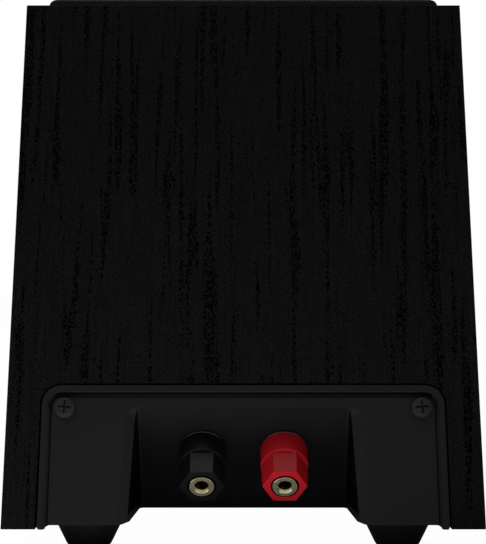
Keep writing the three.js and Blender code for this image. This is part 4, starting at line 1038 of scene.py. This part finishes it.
woofer_frame_bm = lathe([
    *flange(woofer_radius), (47.6, -3.2), (32, -34), (20, -34), (20, -32.4), (30.4, -32.4),
    (46, -3.2), (46, -1.9), (46.2, -1.7), (50.4, -1.7), (50.5, -1.6), (50.5, -0.35), (50.7, -0.2),
])
woofer_frame_bm = carve(woofer_frame_bm, [
    moved(block((-12, -23.2, 20), (12, -8.2, 57)), Matrix.Rotation(k * pi / 3, 4, "Y"))
    for k in range(6)
])
print("frame faces:", len(woofer_frame_bm.faces))


# %% Roll and cone of the woofer
def arc(middle, floor, radius, steps=20):
    angles = [pi * (1 - k / steps) for k in range(steps + 1)]
    return [(middle + radius * cos(angle), floor + radius * sin(angle)) for angle in angles]


over = [point for point in arc(43.7, -1.4, 3.4) if point[1] > -0.7]
surround_bm = lathe([
    *arc(43.7, -1.4, 2.7), (50.1, -1.4), (50.1, -0.7), *reversed(over),
], 128)

neck, cone_edge, neck_height, cone_rise = 13.5, 38.6, -20.2, 18.5


def cone_point(share):
    """A point of the cone's slightly hollow line, by the share of the way from its neck."""
    sag = 0.9 * sin(pi * share)
    return (neck + (cone_edge - neck) * share, neck_height + cone_rise * share - sag)


cone_line = [cone_point(k / 20) for k in range(21)]
cone_bm = lathe([
    *cone_line, (40.1, -1.7), (40.1, -2.5), *[(r, h - 0.8) for r, h in reversed(cone_line)],
], 128)
print("cone depth:", round(cone_line[-1][1] - cone_line[0][1], 2))


# %% Domes
def dome(radius, rise, floor, sheet, steps=12):
    """The outer and the inner line of a thin dome."""
    def line(r, h):
        angles = [k * pi / 2 / steps for k in range(steps)]
        return [(r * cos(angle), floor + h * sin(angle)) for angle in angles] + [(0, floor + h)]
    return line(radius, rise), line(radius - sheet, rise - sheet)


cap_radius = 16.5
cap_floor = neck_height + cone_rise * (cap_radius - neck) / (cone_edge - neck) + 0.3
outer, inner = dome(cap_radius, 6, cap_floor, 0.8)
dust_cap_bm = lathe([*reversed(inner), *outer], closed=False)

dome_floor, silk = -4.05, 0.4
outer, inner = dome(12.7, 4.2, dome_floor, silk)
roll = [(12.9 + 2.7 * k / 8, dome_floor + silk + 0.7 * sin(pi * k / 8)) for k in range(9)]
dome_bm = lathe([
    *reversed(inner), *[(r, h - silk) for r, h in roll], (17.5, dome_floor),
    (17.5, dome_floor + silk), *reversed(roll), *outer[1:],
], closed=False)
print("dome points:", len(dome_bm.verts))

# %% Tweeter face
horn = [(15.8 + 7.2 * sin(angle), -2.4 + 2.2 * (1 - cos(angle))) for angle in quarter[1:]]
tweeter_face_bm = lathe([
    *flange(tweeter_radius), (15.6, -3.2), (15.6, -2.6), (15.8, -2.4), *horn,
])
print("face points:", len(tweeter_face_bm.verts))

# %% Driver pieces in place
for name, body, down, finish, slot, rides, node in (
    ("woofer_basket", woofer_frame_bm, woofer_place,
     driver_black, "driver_black", "cabinet", "woofer_frame"),
    ("woofer_roll", surround_bm, woofer_place,
     surround_rubber, "surround_rubber", "cabinet", "woofer_surround"),
    ("woofer_paper_cone", cone_bm, woofer_place,
     cone_pulp, "cone_pulp", "woofer_diaphragm", "woofer_cone"),
    ("woofer_dome_cap", dust_cap_bm, woofer_place,
     cone_pulp, "cone_pulp", "woofer_diaphragm", "woofer_dust_cap"),
    ("tweeter_faceplate", tweeter_face_bm, tweeter_place,
     driver_black, "driver_black", "cabinet", "tweeter_face_plate"),
    ("tweeter_silk_dome", dome_bm, tweeter_place,
     dome_silk, "dome_silk", "tweeter_diaphragm", "tweeter_dome"),
):
    piece = finish_piece(name, body, on_baffle @ Matrix.Translation((0, 0, down)), [finish], 35)
    hand_over(piece, rides, slot, node)

# %% Driver screws
for prefix, count, radius, first, down in (
    ("woofer", 4, woofer_radius - 3.2, pi / 4, woofer_place),
    ("tweeter", 3, tweeter_radius - 3.6, pi / 2, tweeter_place),
):
    for k in range(count):
        angle = first + 2 * pi * k / count
        body = pan_screw(2.5, 1.5, 1.2, 8, 1.3, 0.5, 0.3 + 0.7 * k, 32)
        place = Matrix.Translation((radius * cos(angle), 0.1, down + radius * sin(angle)))
        screw = finish_piece(f"{prefix}_pan_head_{k + 1}", body, on_baffle @ place, [screw_black])
        hand_over(screw, "cabinet", "screw_black", f"{prefix}_screw_{k + 1}")

# %% [markdown]
# ## Damping pad
# A pad of polyester wadding damps the inside of the box behind the rear panel. It is remeshed and
# swollen with a little air pressure by the Cloth simulation, so that it has the soft, uneven
# crown of loose fibre, and it lies flat against the panel.

# %% Wadding before it swells
pad_low, pad_high = (-52, -30.6, 58), (52, -12.6, 120)
pad_start = block([v + 4 for v in pad_low], [v - g for v, g in zip(pad_high, (4, 0.6, 4))])
round_edges(pad_start, every_edge, 3.5, 4)
pad = finish_piece("wadding_pad", pad_start, on_rear, [wadding], 60)
pad.modifiers.clear()


# %% Swelling the wadding
def settle(piece):
    """Make what a piece's modifiers show its own mesh."""
    seen = piece.evaluated_get(bpy.context.evaluated_depsgraph_get())
    mesh = bpy.data.meshes.new_from_object(seen)
    piece.modifiers.clear()
    piece.data = mesh
    return mesh


def swell(piece, pressure, steps):
    """Blow a piece up a little with the Cloth simulation, without gravity."""
    air = piece.modifiers.new("swell", "CLOTH")
    air.settings.use_pressure = True
    air.settings.uniform_pressure_force = pressure
    air.settings.effector_weights.gravity = 0
    air.point_cache.frame_start, air.point_cache.frame_end = 1, steps
    for frame_number in range(1, steps + 1):
        bpy.context.scene.frame_set(frame_number)
    mesh = settle(piece)
    bpy.context.scene.frame_set(1)
    return mesh


most, to_rear = 0.003, on_rear.inverted()
remesh = pad.modifiers.new("even_cells", "REMESH")
remesh.mode = "VOXEL"
remesh.voxel_size = 0.004
bpy.context.view_layer.update()
rest_points = [vert.co.copy() for vert in settle(pad).vertices]
swollen = swell(pad, pressure=2, steps=14)
for vert, rest in zip(swollen.vertices, rest_points):
    move = vert.co - rest
    if move.length > most:
        move = move.normalized() * most
    local = to_rear @ (rest + move)
    for k in range(3):
        local[k] = min(max(local[k], pad_low[k] + 0.1), pad_high[k] - 0.1)
    vert.co = on_rear @ local
swollen.polygons.foreach_set("use_smooth", [True] * len(swollen.polygons))
if not swollen.materials:
    swollen.materials.append(wadding)
print("pad points:", len(swollen.vertices))
hand_over(pad, "cabinet", "wadding", "damping_pad")

# %% [markdown]
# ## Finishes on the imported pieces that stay
# Motors, coils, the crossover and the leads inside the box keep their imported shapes, because the
# closed cabinet hides them. They still get their own finishes.

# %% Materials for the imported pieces
shown = {node for node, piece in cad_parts.items() if not piece.hide_render}
print("packed pieces still shown:", len(shown))
for material, kept_nodes in (
    (copper, "woofer_coil tweeter_coil crossover_inductor"),
    (motor_steel, "woofer_top_plate woofer_yoke tweeter_top_plate tweeter_yoke"),
    (ferrite, "woofer_magnet tweeter_magnet"), (spider_cloth, "woofer_spider"),
    (grille_moulding, "grille_frame"), (board_green, "crossover_board"),
    (capacitor_film, "crossover_capacitor"), (ceramic, "crossover_resistor"),
    (lead_red, "lead_red lead_woofer"), (lead_black, "lead_black lead_tweeter"),
    (surround_rubber, "grille_cup_rear_left grille_cup_rear_right grille_cup_front_left "
                      "grille_cup_front_right"),
):
    for node in kept_nodes.split():
        shown.discard(node)
        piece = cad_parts[node]
        if not piece.material_slots:
            piece.data.materials.append(material)
        for slot in piece.material_slots:
            slot.material = material
print("of these without a finish:", sorted(shown))
